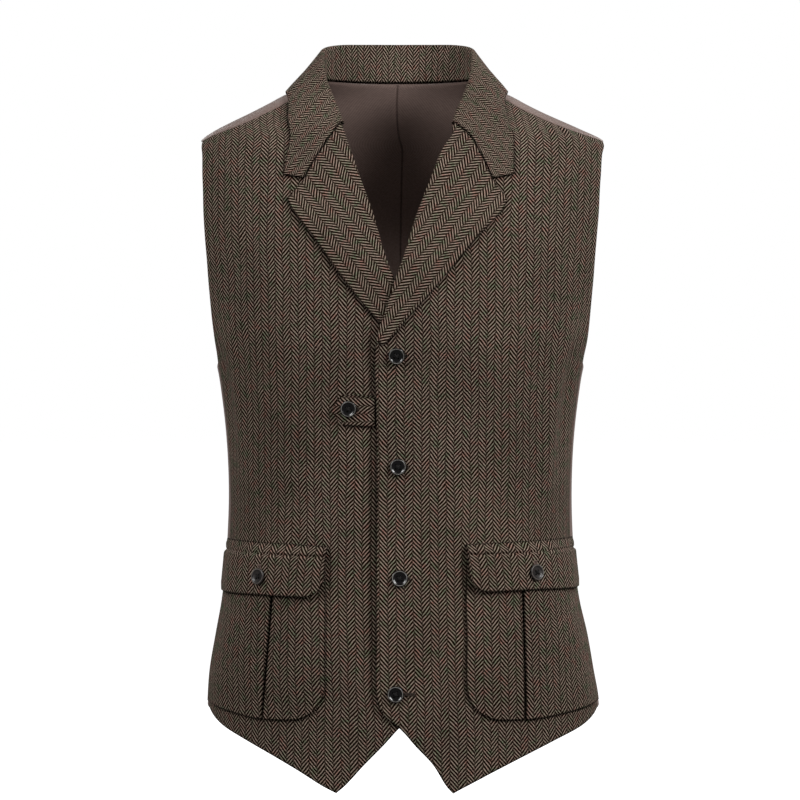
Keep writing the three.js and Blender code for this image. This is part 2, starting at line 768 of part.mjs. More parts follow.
// A section through the collar: up the stand, round the fold and down the leaf. Near the
// collar's end the leaf leaves the fold sideways, and its points are led to the gorge.
function collarSection(side, station, endMoves, endShare) {
  const across = collarShift + side.sign * station.fold[0];
  const fold = new THREE.Vector3(across, station.fold[1], station.fold[2]);
  const foot = layerPoint(side, station.foot, -halfCloth);
  const edge = layerPoint(side, { angle: station.edge[0], height: station.edge[1] }, leafRise);
  const toFoot = foot.clone().sub(fold).normalize();
  const aimHeight = station.edge[1] + endShare * (station.foot.height - station.edge[1]);
  const aim = layerPoint(side, { angle: station.edge[0], height: aimHeight }, leafRise);
  const toEdge = aim.sub(fold).normalize();
  const into = toFoot.clone().add(toEdge).normalize();
  const sideways = toEdge.clone().sub(toFoot).normalize();
  const halfAngle = toFoot.angleTo(toEdge) / 2;
  const centre = fold.clone().addScaledVector(into, foldRadius);
  const turn = (share) => {
    const angle = (2 * share - 1) * (Math.PI / 2 - halfAngle);
    return centre
      .clone()
      .addScaledVector(into, -foldRadius * Math.cos(angle))
      .addScaledVector(sideways, foldRadius * Math.sin(angle));
  };
  const section = [];
  for (let k = 0; k < standColumns; k += 1) section.push(foot.clone().lerp(turn(0), k / standColumns));
  for (let k = 0; k <= foldColumns; k += 1) section.push(turn(k / foldColumns));
  const leafStart = turn(1);
  for (let k = 1; k <= leafColumns; k += 1) {
    const share = k / leafColumns;
    const point = leafStart.clone().lerp(edge, share);
    point.addScaledVector(sideways, leafBulge * Math.sin(Math.PI * share) * (1 - endShare));
    if (endMoves) point.addScaledVector(endMoves[k - 1], endShare);
    section.push(keepOutside(point, leafRise));
  }
  return section;
}

// The stations between two named ones, spread evenly along the fold
function collarStationsBetween(first, last, count) {
  const named = collarStations.slice(first, last + 1);
  const knots = [0];
  for (let k = 1; k < named.length; k += 1) {
    const from = new THREE.Vector3(...named[k - 1].fold);
    knots.push(knots[k - 1] + from.distanceTo(new THREE.Vector3(...named[k].fold)));
  }
  return Array.from({ length: count + 1 }, (_, k) => {
    const at = (k / count) * knots.at(-1);
    const read = (key) =>
      named[0][key].map((_, n) => curveThrough(knots, named.map((row) => row[key][n]), at));
    return { fold: read("fold"), edge: read("edge") };
  });
}

// The collar's sections have their feet along the neck seam
function collarSections(side) {
  const seamRows = [standStart, ...frontNeckOutline.slice(1)];
  const frontFoot = seamRows.map((row) => placeAt(side, { ...row, across: row.across - standFrontGap }));
  const backFoot = backNeckEdge.map((place) => ({ angle: place.angle, height: place.height + standBackGap }));
  const feet = joinRuns(
    spread(side, [...frontFoot.slice(0, -1), backFoot[0]], collarFrontRows),
    spread(side, backFoot, collarBackRows),
  );
  const stations = joinRuns(
    collarStationsBetween(0, shoulderStation, collarFrontRows),
    collarStationsBetween(shoulderStation, collarStations.length - 1, collarBackRows),
  );
  return stations.map((station, r) => ({ ...station, foot: feet[r] }));
}

// The way from each straight leaf point of the collar's end to the gorge and the notch
function collarEndMoves(side, station) {
  const straight = collarSection(side, station, null, 1).slice(-leafColumns);
  const raised = (row) => ({ ...row, height: row.height + gorgeGap });
  const start = placeAt(side, raised({ ...rollLine.at(-1), across: rollLine.at(-1).across + foldRadius }));
  const notch = placeAt(side, raised(gorgeNotch));
  const line = joinRuns(
    spread(side, [start, notch], leafNotchColumn),
    spread(side, [notch, placeAt(side, collarTip)], leafColumns - leafNotchColumn),
  );
  return line.slice(1).map((place, k) => layerPoint(side, place, leafRise).sub(straight[k]));
}

function collarHalf(side) {
  const stations = collarSections(side);
  const moves = collarEndMoves(side, stations[0]);
  return stations.map((station, r) => {
    const endShare = clamp(1 - r / collarEndReach, 0, 1) ** 2;
    return collarSection(side, station, moves, endShare);
  });
}

function collar() {
  const rightHalf = collarHalf(rightSide);
  const leftHalf = collarHalf(leftSide);
  const middle = [...rightHalf, ...leftHalf.slice(0, -1).reverse()];
  const at = (r, c) => middle[clamp(r, 0, middle.length - 1)][clamp(c, 0, middle[0].length - 1)];
  const outward = (r, c) => {
    const along = at(r + 1, c).clone().sub(at(r - 1, c));
    const down = at(r, c + 1).clone().sub(at(r, c - 1));
    return along.cross(down).normalize();
  };
  const face = (offset) =>
    middle.map((row, r) => row.map((point, c) => point.clone().addScaledVector(outward(r, c), offset)));
  return namedMesh("collar", wallGeometry(face(halfCloth), face(-halfCloth)), materials.tweed);
}

// Pockets and flaps

const pocketColumns = 12;
const pocketRows = 8;
const flapColumns = 10;
const flapRows = 4;

function pleatAcross(side, height) {
  const heights = side.pleat.map((row) => row.height);
  const acrosses = side.pleat.map((row) => row.across);
  heights.reverse();
  acrosses.reverse();
  return curveThrough(heights, acrosses, height);
}

// The patch's height over the front: sewn flat at its edges, full in the middle, with the
// pleat's crease let in and its side half lying a little higher.
function pocketRise(side, place) {
  const { pocket } = side;
  const x = side.sign * bodyPoint(side, place.angle, place.height).x;
  const fromFront = smoothStep(x, pocket.front, pocket.front + 30);
  const fromSide = 1 - smoothStep(place.angle, 62, pocketEndAngle);
  const fromFoot = smoothStep(place.height, pocket.foot, pocket.foot + 40);
  const offCrease = x - pleatAcross(side, place.height);
  const fullness = pocketPuff * fromFront * fromSide * fromFoot;
  const overlap = pleatStep * smoothStep(offCrease, 0, pleatWidth) * fromSide;
  const crease = Math.exp(-((offCrease / pleatWidth) ** 2));
  return layerGap + fullness * (1 - 0.8 * crease) + overlap;
}

// Places round a corner of a patch, in distance across and height
function cornerArc(across, height, radius, from, to, count) {
  return Array.from({ length: count + 1 }, (_, k) => {
    const angle = radians(from + ((to - from) * k) / count);
    return { across: across - radius * Math.cos(angle), height: height - radius * Math.sin(angle) };
  });
}

function pocket(side) {
  const { front, top, foot, corner, sideFoot } = side.pocket;
  const arc = (to) => cornerArc(front + corner, foot + corner, corner, cornerMiddle, to, cornerSteps);
  const frontRows = [
    ...arc(0),
    { across: front, height: pocketEdgeKnot },
    { across: front, height: top },
  ];
  const footRows = [
    ...arc(90),
    { across: front + pocketFootBend.fromFront, height: foot },
    { across: pocketFootBend.across, height: foot + pocketFootBend.rise },
  ];
  const footEnd = { angle: pocketEndAngle, height: sideFoot };
  const topEnd = { angle: pocketEndAngle, height: top };
  const topStart = placeAt(side, { across: front, height: top });
  const frontEdge = spreadRows(side, frontRows, pocketRows);
  const footEdge = spread(side, [...footRows.map((row) => placeAt(side, row)), footEnd], pocketColumns);
  const endEdge = spread(side, [footEnd, topEnd], pocketRows);
  const topEdge = spread(side, [topStart, topEnd], pocketColumns);
  const grid = fillPatch(frontEdge, endEdge, footEdge, topEdge);
  const wall = clothWall(side, grid, (place) => pocketRise(side, place));
  return namedMesh(`pocket_${side.name}`, wall, materials.tweed);
}

// The flap's height over the front: down on it along the seam, out over the patch below
function flapLayerRise(side, place) {
  const { top, foot } = side.flap;
  const below = 1 - smoothStep(place.height, side.pocket.top + 3, top);
  const overSeam = 1 - smoothStep(place.height, foot, top);
  const fromSide = 1 - smoothStep(place.angle, flapFadeAngle, flapEndAngle);
  const onPatch = layerStep + (pocketPuff + pleatStep + flapRise * overSeam) * fromSide;
  return layerGap + onPatch * below;
}

function flap(side) {
  const { front, top, sideTop, foot, sideFoot, corner } = side.flap;
  const cornerAcross = front + flapTaper + corner;
  const arc = (to) => cornerArc(cornerAcross, foot + corner, corner, cornerMiddle, to, cornerSteps);
  const frontEdge = spreadRows(side, [...arc(0), { across: front, height: top }], flapRows);
  const footEnd = { angle: flapEndAngle, height: sideFoot + flapEndLift };
  const topEnd = { angle: flapEndAngle, height: sideTop };
  const footRows = [...arc(90), { across: flapFootBend.across, height: foot + flapFootBend.rise }];
  const footStart = footRows.map((row) => placeAt(side, row));
  const beforeEnd = { angle: flapEndAngle - flapEndTurn, height: sideFoot };
  const footEdge = spread(side, [...footStart, beforeEnd, footEnd], flapColumns);
  const topRows = [
    { across: front, height: top },
    { across: flapTopBend, height: (top + sideTop) / 2 },
  ];
  const topEdge = spread(side, [...topRows.map((row) => placeAt(side, row)), topEnd], flapColumns);
  const endEdge = spread(side, [footEnd, topEnd], flapRows);
  const grid = fillPatch(frontEdge, endEdge, footEdge, topEdge);
  const wall = clothWall(side, grid, (place) => flapLayerRise(side, place));
  return namedMesh(`flap_${side.name}`, wall, materials.tweed);
}

// Tab

const tabColumns = 5;

function tab() {
  const side = rightSide;
  const { root, shoulder, tip, top, bottom, shoulderDrop, tipHeight } = tabOutline;
  const at = (across, height) => placeAt(side, { across, height, centre: 0 });
  const corners = {
    rootLow: at(root, bottom),
    rootHigh: at(root, top),
    endLow: at(shoulder, bottom + shoulderDrop),
    endHigh: at(shoulder, top + shoulderDrop),
    tip: at(tip, tipHeight),
  };
  const rootEdge = spread(side, [corners.rootLow, corners.rootHigh], 4);
  const endEdge = joinRuns(
    spread(side, [corners.endLow, corners.tip], 2),
    spread(side, [corners.tip, corners.endHigh], 2),
  );
  const lowEdge = spread(side, [corners.rootLow, corners.endLow], tabColumns);
  const highEdge = spread(side, [corners.rootHigh, corners.endHigh], tabColumns);
  const grid = fillPatch(rootEdge, endEdge, lowEdge, highEdge);
  return namedMesh("tab", clothWall(side, grid, () => layerGap), materials.tweed);
}

// Buttons: a dished disc with a raised rim, pierced by four holes

function solidFrom(geometry) {
  const bare = geometry.clone();
  bare.deleteAttribute("normal");
  bare.deleteAttribute("uv");
  const merged = mergeVertices(bare, 1e-4);
  const mesh = new wasm.Mesh({
    numProp: 3,
    vertProperties: Float32Array.from(merged.attributes.position.array),
    triVerts: Uint32Array.from(merged.index.array),
  });
  return new wasm.Manifold(mesh);
}

function geometryFrom(solid) {
  const mesh = solid.getMesh();
  const geometry = new THREE.BufferGeometry();
  geometry.setAttribute("position", new THREE.Float32BufferAttribute(mesh.vertProperties, 3));
  geometry.setIndex(Array.from(mesh.triVerts));
  geometry.computeVertexNormals();
  return geometry;
}

function buttonGeometry() {
  const sidesRound = 16;
  const holeSides = 4;
  const profile = [
    new THREE.Vector2(0, 0),
    new THREE.Vector2(buttonRadius * 0.62, 0),
    new THREE.Vector2(buttonRadius, buttonThickness * 0.45),
    new THREE.Vector2(buttonRadius - buttonRim * 0.35, buttonThickness),
    new THREE.Vector2(buttonRadius - buttonRim, buttonThickness),
    new THREE.Vector2(buttonRadius - buttonRim * 1.8, buttonThickness - buttonDish),
    new THREE.Vector2(0, buttonThickness - buttonDish),
  ];
  let solid = solidFrom(new THREE.LatheGeometry(profile, sidesRound));
  for (const [x, z] of [[1, 1], [1, -1], [-1, 1], [-1, -1]]) {
    const holeDepth = 3 * buttonThickness;
    const hole = new THREE.CylinderGeometry(buttonHoleRadius, buttonHoleRadius, holeDepth, holeSides);
    hole.translate(x * buttonHoleSpread, buttonThickness / 2, z * buttonHoleSpread);
    solid = solid.subtract(solidFrom(hole));
  }
  return geometryFrom(solid);
}

function button(name, side, row, riseAt, material) {
  const place = placeAt(side, row);
  const on = (angle, height) => {
    const near = { angle: place.angle + angle, height: place.height + height };
    return layerPoint(side, near, riseAt(near));
  };
  const along = on(buttonSpan, 0).sub(on(-buttonSpan, 0));
  const up = on(0, buttonRadius).sub(on(0, -buttonRadius));
  const normal = along.cross(up).multiplyScalar(side.sign).normalize();
  const mesh = namedMesh(name, buttonGeometry(), material);
  mesh.position.copy(on(0, 0)).addScaledVector(normal, buttonSeat);
  mesh.quaternion.setFromUnitVectors(new THREE.Vector3(0, 1, 0), normal);
  return mesh;
}

function flapButton(side) {
  const riseAt = (place) => flapLayerRise(side, place) + clothThickness;
  return button(`button_flap_${side.name}`, side, side.flapButton, riseAt, materials.dullButton);
}

// The whole waistcoat

const waistcoat = new THREE.Group();
waistcoat.name = "waistcoat";
for (const side of sides) {
  waistcoat.add(frontPanel(side), backPanel(side), lapel(side), pocket(side), flap(side), flapButton(side));
}
waistcoat.add(collar(), tab());
frontButtonPlaces.forEach((row, k) => {
  waistcoat.add(button(`button_front_${k + 1}`, leftSide, row, () => 0, materials.glossyButton));
});
waistcoat.add(button("button_tab", rightSide, tabButtonPlace, () => layerStep, materials.glossyButton));

export default waistcoat;
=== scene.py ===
"""Looks of a suit waistcoat: herringbone tweed fronts, lapels, collar, pockets and tab, a satin
back, and four-hole buttons. Every cloth piece is a fine wall on the form of the solid that it
stands for. Sizes in the tables and in the shape functions are in millimetres; Blender's are metres.
A place on the body surface is a pair of angle (degrees round the ring, 0 at the centre front)
and height."""

import math

import bpy
import numpy as np
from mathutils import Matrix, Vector


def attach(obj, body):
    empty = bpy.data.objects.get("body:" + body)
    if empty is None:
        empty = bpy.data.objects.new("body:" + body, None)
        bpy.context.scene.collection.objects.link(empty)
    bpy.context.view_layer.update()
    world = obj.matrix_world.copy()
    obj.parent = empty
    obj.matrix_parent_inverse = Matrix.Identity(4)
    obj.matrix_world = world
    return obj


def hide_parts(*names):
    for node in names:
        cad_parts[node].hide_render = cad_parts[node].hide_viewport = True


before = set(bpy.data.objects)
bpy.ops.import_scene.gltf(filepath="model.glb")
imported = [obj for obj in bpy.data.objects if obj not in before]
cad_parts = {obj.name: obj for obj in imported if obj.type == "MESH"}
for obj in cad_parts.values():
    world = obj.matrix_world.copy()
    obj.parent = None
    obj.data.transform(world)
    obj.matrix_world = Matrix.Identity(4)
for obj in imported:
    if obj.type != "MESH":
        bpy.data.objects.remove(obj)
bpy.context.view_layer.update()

MM = 0.001

# Cloth, the gap between layers, and half the gap at a seam in degrees
CLOTH = 1.8
LAYER_GAP = 0.72
LAYER_STEP = CLOTH + LAYER_GAP
SEAM_ANGLE = 80
SEAM_GAP_ANGLE = 0.015
SHOULDER_GAP_ANGLE = 0.05
CENTRE_BACK_ANGLE = 180
# The power of the body's rings: 2 is an ellipse, and more is squarer
ROUNDNESS = 2.1
# Above this height a front is laid out on the chest's width, and not on its own
CHEST_HEIGHT = -60
# How fast the bend of a patch's lower and upper edge fades towards its middle
BEND_FADE = 3
# The closing lies on the under front, and at its top on the lapel too: where each starts and ends
CLOSING_ACROSS = (22, 60)
CLOSING_TOP = (-148, -90)
CLOSING_ON_LAPEL = (-242, -216)

# Body rings: height, half width, front depth, back depth, shift to the wearer's left
BODY_RINGS = np.array([
    (-640, 190, 132, 116, 4), (-549, 185.3, 131, 113, 3), (-519, 181.6, 130, 110, 1.5),
    (-486, 175.8, 128, 106, 1.4), (-456, 169.5, 126, 102, 0.6), (-430, 166, 123.5, 98, 0.2),
    (-396, 163.1, 119, 94, 0), (-355, 162.3, 116, 92, 0.2), (-300, 165, 117.5, 99, 0.2),
    (-250, 171, 120.5, 109, 0.3), (-228, 175.5, 121.5, 113, 0.4), (-210, 181, 122, 115, 0.6),
    (-183, 187, 121.5, 117, 0.6), (-145, 195, 118.5, 117, 0.6), (-110, 200, 113, 114, 0.5),
    (-60, 203, 100, 105, 1.4), (-35, 199, 90, 97, 2), (-20, 191, 80, 90, 2),
    (-10, 174, 72, 85, -1), (8, 136, 54, 76, -3), (27, 100, 31, 68, -3),
    (34, 84, 22, 65, -2.5), (42, 70, 12, 61, -2),
])
HALF_WIDTH, FRONT_DEPTH, BACK_DEPTH, SHIFT = 1, 2, 3, 4

# Outlines: height, distance across from the garment's centre line, where that line lies
HEM = [(-568, 170.2, 2.2), (-579, 146.8, 0.2), (-591, 120.8, -1.2), (-605, 92.5, -3),
       (-619.5, 65.5, -5.3), (-625.5, 53.5, -5)]
CUTAWAY = [(-625.5, 53.5, -5), (-618, 45.8, -4), (-599, 31.2, -1.2), (-581, 14, -0.7),
           (-565.5, 0, -0.5), (-558, -9.5, -0.7), (-550, -16.5, -1), (-535, -20.5, -1)]
CLOSING_EDGE = [(-535, -20.5, -1), (-412, -20.5, -1), (-266, -21, -1), (-235, -22, -1.3),
                (-217, -20.8, -1.3)]
ROLL_LINE = [(-213, -20.2, -1.3), (-196, -14.6, -2.8), (-185, -9.4, -3.6), (-155, 0.6, -4.6),
             (-133, 8.7, -4.9), (-96, 19.6, -4.6), (-62, 32, -4), (-34, 42.5, -3.4),
             (-11, 50.8, -2.3)]
FRONT_NECK = [(-11, 53.2, -2.3), (-2, 58, -2), (6.5, 61.6, -2), (14.5, 65.3, -2),
              (22.5, 69, -2), (30, 71.8, -2), (37, 73.2, -2)]
SHOULDER_SEAM = [(-21.5, 189.2, 2.6), (-17, 176.8, -0.6), (-10, 156.2, -1.5), (-3, 138.8, -1.4),
                 (7, 118.4, -2), (16, 103, -1.4), (26, 89, -1.6), (37, 73.2, -2)]
FRONT_ARMHOLE = [(-214, 174.9, 0.9), (-185, 178.2, 0.8), (-160, 180.2, 0.8), (-130, 182.4, 0.8),
                 (-95, 185.3, 1), (-60, 187, 1.4), (-36, 188.4, 2), (-21.5, 189.2, 2.6)]
ARMHOLE_FOOT = -231
SIDE_HEM = -556

# The back's own edges: angle, height
BACK_ARMHOLE = [(80, -231), (86, -234.8), (92, -236.5), (98, -233.5), (104, -224.5), (109, -206),
                (112, -180), (113.5, -145), (114, -110), (114, -82), (113, -58), (110, -38),
                (103, -25.5), (93, -19.6), (80.5, -21.5)]
UNDERARM = [(80, -231), (86, -239), (92, -245), (100, -249), (115, -250), (180, -250)]
BACK_NECK = [(67.8, 37), (84, 38.3), (104, 39.3), (130, 40), (156, 40), (180, 40)]
BACK_HEM = [(80, -556), (100, -553), (130, -545), (160, -539), (180, -537)]

# Lapel and collar
LAPEL_EDGE = [(-216, -13.5, -1.8), (-207, -0.2, -5.3), (-191, 14.7, -7.4), (-170, 33.4, -7),
              (-147, 51.8, -6.2), (-118, 73.6, -4.1), (-92, 95.5, -2.2), (-80.5, 101.1, -2.3)]
GORGE_NOTCH = (-63, 87, -1.7)
LAPEL_TIP = (-80.5, 101.1, -2.3)
COLLAR_TIP = (-58, 106, -1.4)
GORGE_GAP = 1.7
LAPEL_PUFF = 2.2
LAPEL_EASE = 0.5
ROLL_INSET = 2.4
LAPEL_START = 2.8
# How far in from the roll line and how far out from the panel the rolled section's faces lie:
# outer face in, outer face out, inner face in, inner face out
ROLL_SECTION = [(0, -1.8, 1.7, -1.8), (0, 0.9, 1.75, 0.4), (0.8, 2.2, 2.1, 0.6)]
COLLAR_SHIFT = -2
SHOULDER_STATION = 6
STAND_START = (-8.5, 54.4, -2.2)
STAND_FRONT_GAP = 1.75
STAND_BACK_GAP = 1.3
FOLD_RADIUS = 2.2
LEAF_BULGE = 2.0
LEAF_EASE = 0.65
# Collar stations from the gorge to the centre back: fold x, y, z, leaf edge angle, height
COLLAR_STATIONS = np.array([
    (51, -69.4, -8.3, 30.2, -57.5), (55.7, -58, 5, 30.4, -37), (60.5, -46, 16, 31.5, -21),
    (64.8, -34, 27, 36, -8), (68.8, -22, 38, 46, 6.5), (70.9, -12, 48, 61, 18.5),
    (72, -2, 57, 88, 26.5), (70.5, 22, 69, 113, 26), (57, 47, 75, 134, 25),
    (32, 63, 77, 157, 24), (0, 69, 77.5, 180, 24),
])

# The two sides of the wearer. The left front closes on top of the right one.
SIDES = [
    dict(name="right", sign=-1, on_top=False,
         pocket=dict(front=68, top=-415, foot=-560, corner=34, side_foot=-549),
         pleat=[(-440, 115.4), (-500, 120.4), (-560, 125.9)],
         flap=dict(front=65.8, top=-400.5, side_top=-396, foot=-447.5, side_foot=-445, corner=19),
         flap_button=(-430, 125, 0)),
    dict(name="left", sign=1, on_top=True,
         pocket=dict(front=60.3, top=-412, foot=-559.5, corner=34, side_foot=-548),
         pleat=[(-440, 111.2), (-500, 113), (-560, 114.2)],
         flap=dict(front=59.6, top=-398.5, side_top=-394.5, foot=-442.5, side_foot=-441.5, corner=17),
         flap_button=(-426.3, 120.4, 0)),
]
RIGHT, LEFT = SIDES
POCKET_END_ANGLE = 79.2
POCKET_PUFF = 1.6
PLEAT_STEP = 0.9
PLEAT_GAP = 0.45
FLAP_END_ANGLE = 79.6
FLAP_RISE = 0.8
FLAP_TAPER = 1.5
FLAP_FADE_ANGLE = 66
FLAP_END_TURN = 3.2
FLAP_END_LIFT = 7
FLAP_CORNER_LIFT = 1.5
TAB = dict(root=22.6, shoulder=52.5, tip=63.5, top=-262.5, bottom=-290.5, drop=1.5, tip_height=-275.5)
TAB_BUTTON = (-274, 46.4, 0)
FRONT_BUTTONS = [(-225.5, -3.1, 0), (-327.2, -1.8, 0), (-429.7, -0.3, 0), (-534.6, -4, 0)]

# Soft folds: side, angle, height, how wide and how far each spreads, and how far it stands out.
# The first ten are the solids' own, and the rest are finer creases.
FOLDS = [
    (1, 57, -288, 5, 70, 3.0), (1, 66, -275, 4.5, 55, -2.4), (-1, 63, -262, 5, 60, 1.8),
    (-1, 71, -275, 4, 50, -1.6), (1, 103, -330, 6, 90, 2.6), (-1, 105, -345, 6, 80, 2.2),
    (1, 146, -350, 9, 110, 3.2), (-1, 149, -335, 9, 120, 3.0), (1, 128, -150, 7, 60, 2.2),
    (-1, 127, -160, 7, 55, 2.4),
    (1, 118, -300, 4, 60, -1.5), (-1, 119, -320, 4, 70, -1.4), (1, 163, -300, 4, 80, -1.6),
    (-1, 165, -290, 5, 90, -1.4), (1, 134, -420, 5, 60, 1.4), (-1, 136, -400, 5, 70, 1.3),
    (1, 92, -400, 4, 60, 1.3), (-1, 93, -390, 4, 60, 1.2), (1, 155, -130, 6, 50, -1.4),
    (-1, 154, -120, 6, 55, -1.3), (1, 140, -290, 3, 45, 2.2), (-1, 141, -275, 3, 50, 2.0),
    (1, 170, -345, 4, 55, 1.8), (-1, 171, -355, 4, 50, 1.7), (1, 110, -265, 3.5, 40, -1.8),
    (-1, 109, -270, 3.5, 45, -1.7), (1, 122, -90, 4, 60, 2.0), (-1, 121, -85, 4, 60, 2.1),
]
# Drag lines of the fronts: side, start x and z, end x and z, width, how far each stands out
DRAGS = [
    (1, 60, -330, 150, -262, 9, 1.0), (1, 40, -352, 140, -338, 8, -0.8), (1, 30, -470, 95, -398, 8, 0.8),
    (1, 150, -190, 120, -90, 8, -1.1), (1, 130, -215, 165, -150, 7, 0.9),
    (-1, 60, -318, 150, -250, 9, 0.9), (-1, 35, -440, 120, -380, 8, -0.7), (-1, 40, -350, 130, -330, 8, 0.7),
    (-1, 158, -175, 128, -70, 8, -1.2), (-1, 165, -60, 120, -36, 7, 1.1), (-1, 135, -220, 168, -160, 7, 0.9),
    (1, 20, -545, 70, -585, 8, 0.8), (-1, 30, -580, 90, -540, 8, 0.8),
    (1, -20, -232, -20, -575, 5, 1.2), (-1, 26, -215, 26, -600, 5, -3.2),
]

# Drags fade out towards the sides, from this far in front of the middle
DRAG_DEPTH = 20

# How many fine steps each of the solids' coarse steps takes
FINE_ROWS = 6
FINE_COLUMNS = 7
# A wall's rounded edge: how far in it starts, in steps, and its share of the wall's thickness
RIM_SHARE = 0.3
RIM_THICKNESS = 0.42


def signed_power(value, power):
    return np.sign(value) * np.abs(value) ** power


def smooth_step(value, low, high):
    share = np.clip((value - low) / (high - low), 0, 1)
    return share * share * (3 - 2 * share)


def hump(distance, width):
    """1 in the middle, fading to 0 beyond the width on both sides."""
    return np.exp(-((distance / width) ** 2))


def segment_gap(places, start, end):
    """Each place's distance from a straight line, and its share of the way along it."""
    run = end - start
    offset = places - start
    share = np.clip(offset @ run / (run @ run), 0, 1)
    return np.linalg.norm(offset - share[..., None] * run, axis=-1), share


def along(values, weights):
    """Shapes an array of weights so that it multiplies values row by row."""
    return weights.reshape(weights.shape + (1,) * (values.ndim - 1))


def curve_through(knots, values, at):
    """A smooth curve through values (one row a knot) at rising knots."""
    knots, values, at = (np.asarray(data, float) for data in (knots, values, at))
    number = np.arange(len(knots))
    before = np.maximum(number - 1, 0)
    after = np.minimum(number + 1, number[-1])
    slopes = (values[after] - values[before]) / along(values, knots[after] - knots[before])
    k = np.searchsorted(knots[1:-1], at, side="left")
    span = knots[k + 1] - knots[k]
    t = np.clip((at - knots[k]) / span, 0, 1)
    start = (1 + 2 * t) * (1 - t) ** 2
    weights = [start, 1 - start, t * (1 - t) ** 2 * span, t * t * (t - 1) * span]
    terms = [values[k], values[k + 1], slopes[k], slopes[k + 1]]
    return sum(along(values, weight) * term for weight, term in zip(weights, terms))


def ring_at(height, column):
    return curve_through(BODY_RINGS[:, 0], BODY_RINGS[:, column], height)


def depth_at(height, in_front):
    return np.where(in_front, ring_at(height, FRONT_DEPTH), ring_at(height, BACK_DEPTH))


def ring_round(degrees):
    """The shares of a ring's half width and of its depth at an angle."""
    angle = np.radians(degrees)
    return signed_power(np.sin(angle), 2 / ROUNDNESS), signed_power(np.cos(angle), 2 / ROUNDNESS)


def body_point(side, places):
    height = places[..., 1]
    sine, cosine = ring_round(places[..., 0])
    across = ring_at(height, SHIFT) + side["sign"] * sine * ring_at(height, HALF_WIDTH)
    return np.stack([across, -cosine * depth_at(height, cosine > 0), height], -1)


NORMAL_TURN = 0.6


def unit(vectors):
    return vectors / np.linalg.norm(vectors, axis=-1, keepdims=True)


def body_normal(side, places):
    turn = np.array([NORMAL_TURN, 0])
    lift = np.array([0, 1])
    around = body_point(side, places + turn) - body_point(side, places - turn)
    up = body_point(side, places + lift) - body_point(side, places - lift)
    return unit(np.cross(around, up) * side["sign"])


def body_measure(points):
    """Below 0 inside the body surface, 0 on it and above 0 outside it."""
    height = np.clip(points[..., 2], BODY_RINGS[0, 0], BODY_RINGS[-1, 0])
    x = np.abs(points[..., 0] - ring_at(height, SHIFT)) / ring_at(height, HALF_WIDTH)
    y = np.abs(points[..., 1]) / depth_at(height, points[..., 1] < 0)
    return (x**ROUNDNESS + y**ROUNDNESS) ** (1 / ROUNDNESS) - 1


def body_distance(points):
    """How far points lie outside the body surface, and the way out."""
    step = 0.5
    change = [body_measure(points + a) - body_measure(points - a) for a in np.eye(3) * step]
    gradient = np.stack(change, -1) / (2 * step)
    steepness = np.linalg.norm(gradient, axis=-1)
    return body_measure(points) / steepness, gradient / steepness[..., None]


def place_at(side, rows):
    """Places of rows of height, distance across and centre line."""
    rows = np.asarray(rows, float)
    height = rows[..., 0]
    from_middle = rows[..., 1] + side["sign"] * (rows[..., 2] - ring_at(height, SHIFT))
    share = np.clip(from_middle / ring_at(height, HALF_WIDTH), -1, 1)
    return np.stack([np.degrees(np.arcsin(signed_power(share, ROUNDNESS / 2))), height], -1)


def laid_width(height):
    return ring_at(np.minimum(height, CHEST_HEIGHT), HALF_WIDTH)


def lay_out(places):
    """Places as they are on the chest's width, where a front's edges run smoothly."""
    height = places[..., 1]
    sine = ring_round(places[..., 0])[0]
    return np.stack([np.arcsin(sine * ring_at(height, HALF_WIDTH) / laid_width(height)), height], -1)


def take_up(side, flat):
    """The places that lay_out laid out."""
    height = flat[..., 1]
    across = np.sin(flat[..., 0]) * laid_width(height)
    return place_at(side, np.stack([height, across, ring_at(height, SHIFT)], -1))


def fold_rise(side, places, points):
    rise = np.zeros(places.shape[:-1])
    for sign, angle, height, spread_angle, reach, out in FOLDS:
        if sign == side["sign"]:
            rise += out * hump(places[..., 0] - angle, spread_angle) * hump(places[..., 1] - height, reach)
    front = smooth_step(-points[..., 1], 0, DRAG_DEPTH)
    for sign, x0, z0, x1, z1, width, out in DRAGS:
        if sign == side["sign"]:
            ends = np.array([(sign * x0, z0), (sign * x1, z1)], float)
            gap, share = segment_gap(points[..., [0, 2]], *ends)
            rise += out * np.sin(math.pi * (0.1 + 0.8 * share)) * hump(gap, width) * front
    return rise


def closing_lift(side, points):
    if not side["on_top"]:
        return 0
    over_under_front = 1 - smooth_step(points[..., 0], *CLOSING_ACROSS)
    below_neck = 1 - smooth_step(points[..., 2], *CLOSING_TOP)
    over_under_lapel = smooth_step(points[..., 2], *CLOSING_ON_LAPEL)
    lift = over_under_front * below_neck * LAYER_STEP * (1 + over_under_lapel)
    return np.where(points[..., 1] > 0, 0, lift)


def layer_point(side, places, rise):
    """Points rise above the panel's outer face, with its folds."""
    points = body_point(side, places)
    out = fold_rise(side, places, points) + closing_lift(side, points) + rise
    return points + body_normal(side, places) * np.asarray(out)[..., None]


def lengths(points):
    steps = np.linalg.norm(np.diff(points, axis=0), axis=-1)
    return np.concatenate([[0], np.cumsum(steps)])


def spread(side, parts, count):
    """Even steps along a smooth line through places, given one by one or as several runs."""
    places = np.concatenate([np.reshape(part, (-1, 2)) for part in parts])
    knots = lengths(body_point(side, places))
    return curve_through(knots, places, np.linspace(0, knots[-1], count + 1))


def spread_rows(side, rows, count):
    return spread(side, place_at(side, rows), count)


def join_runs(*runs):
    return np.concatenate([runs[0]] + [run[1:] for run in runs[1:]])


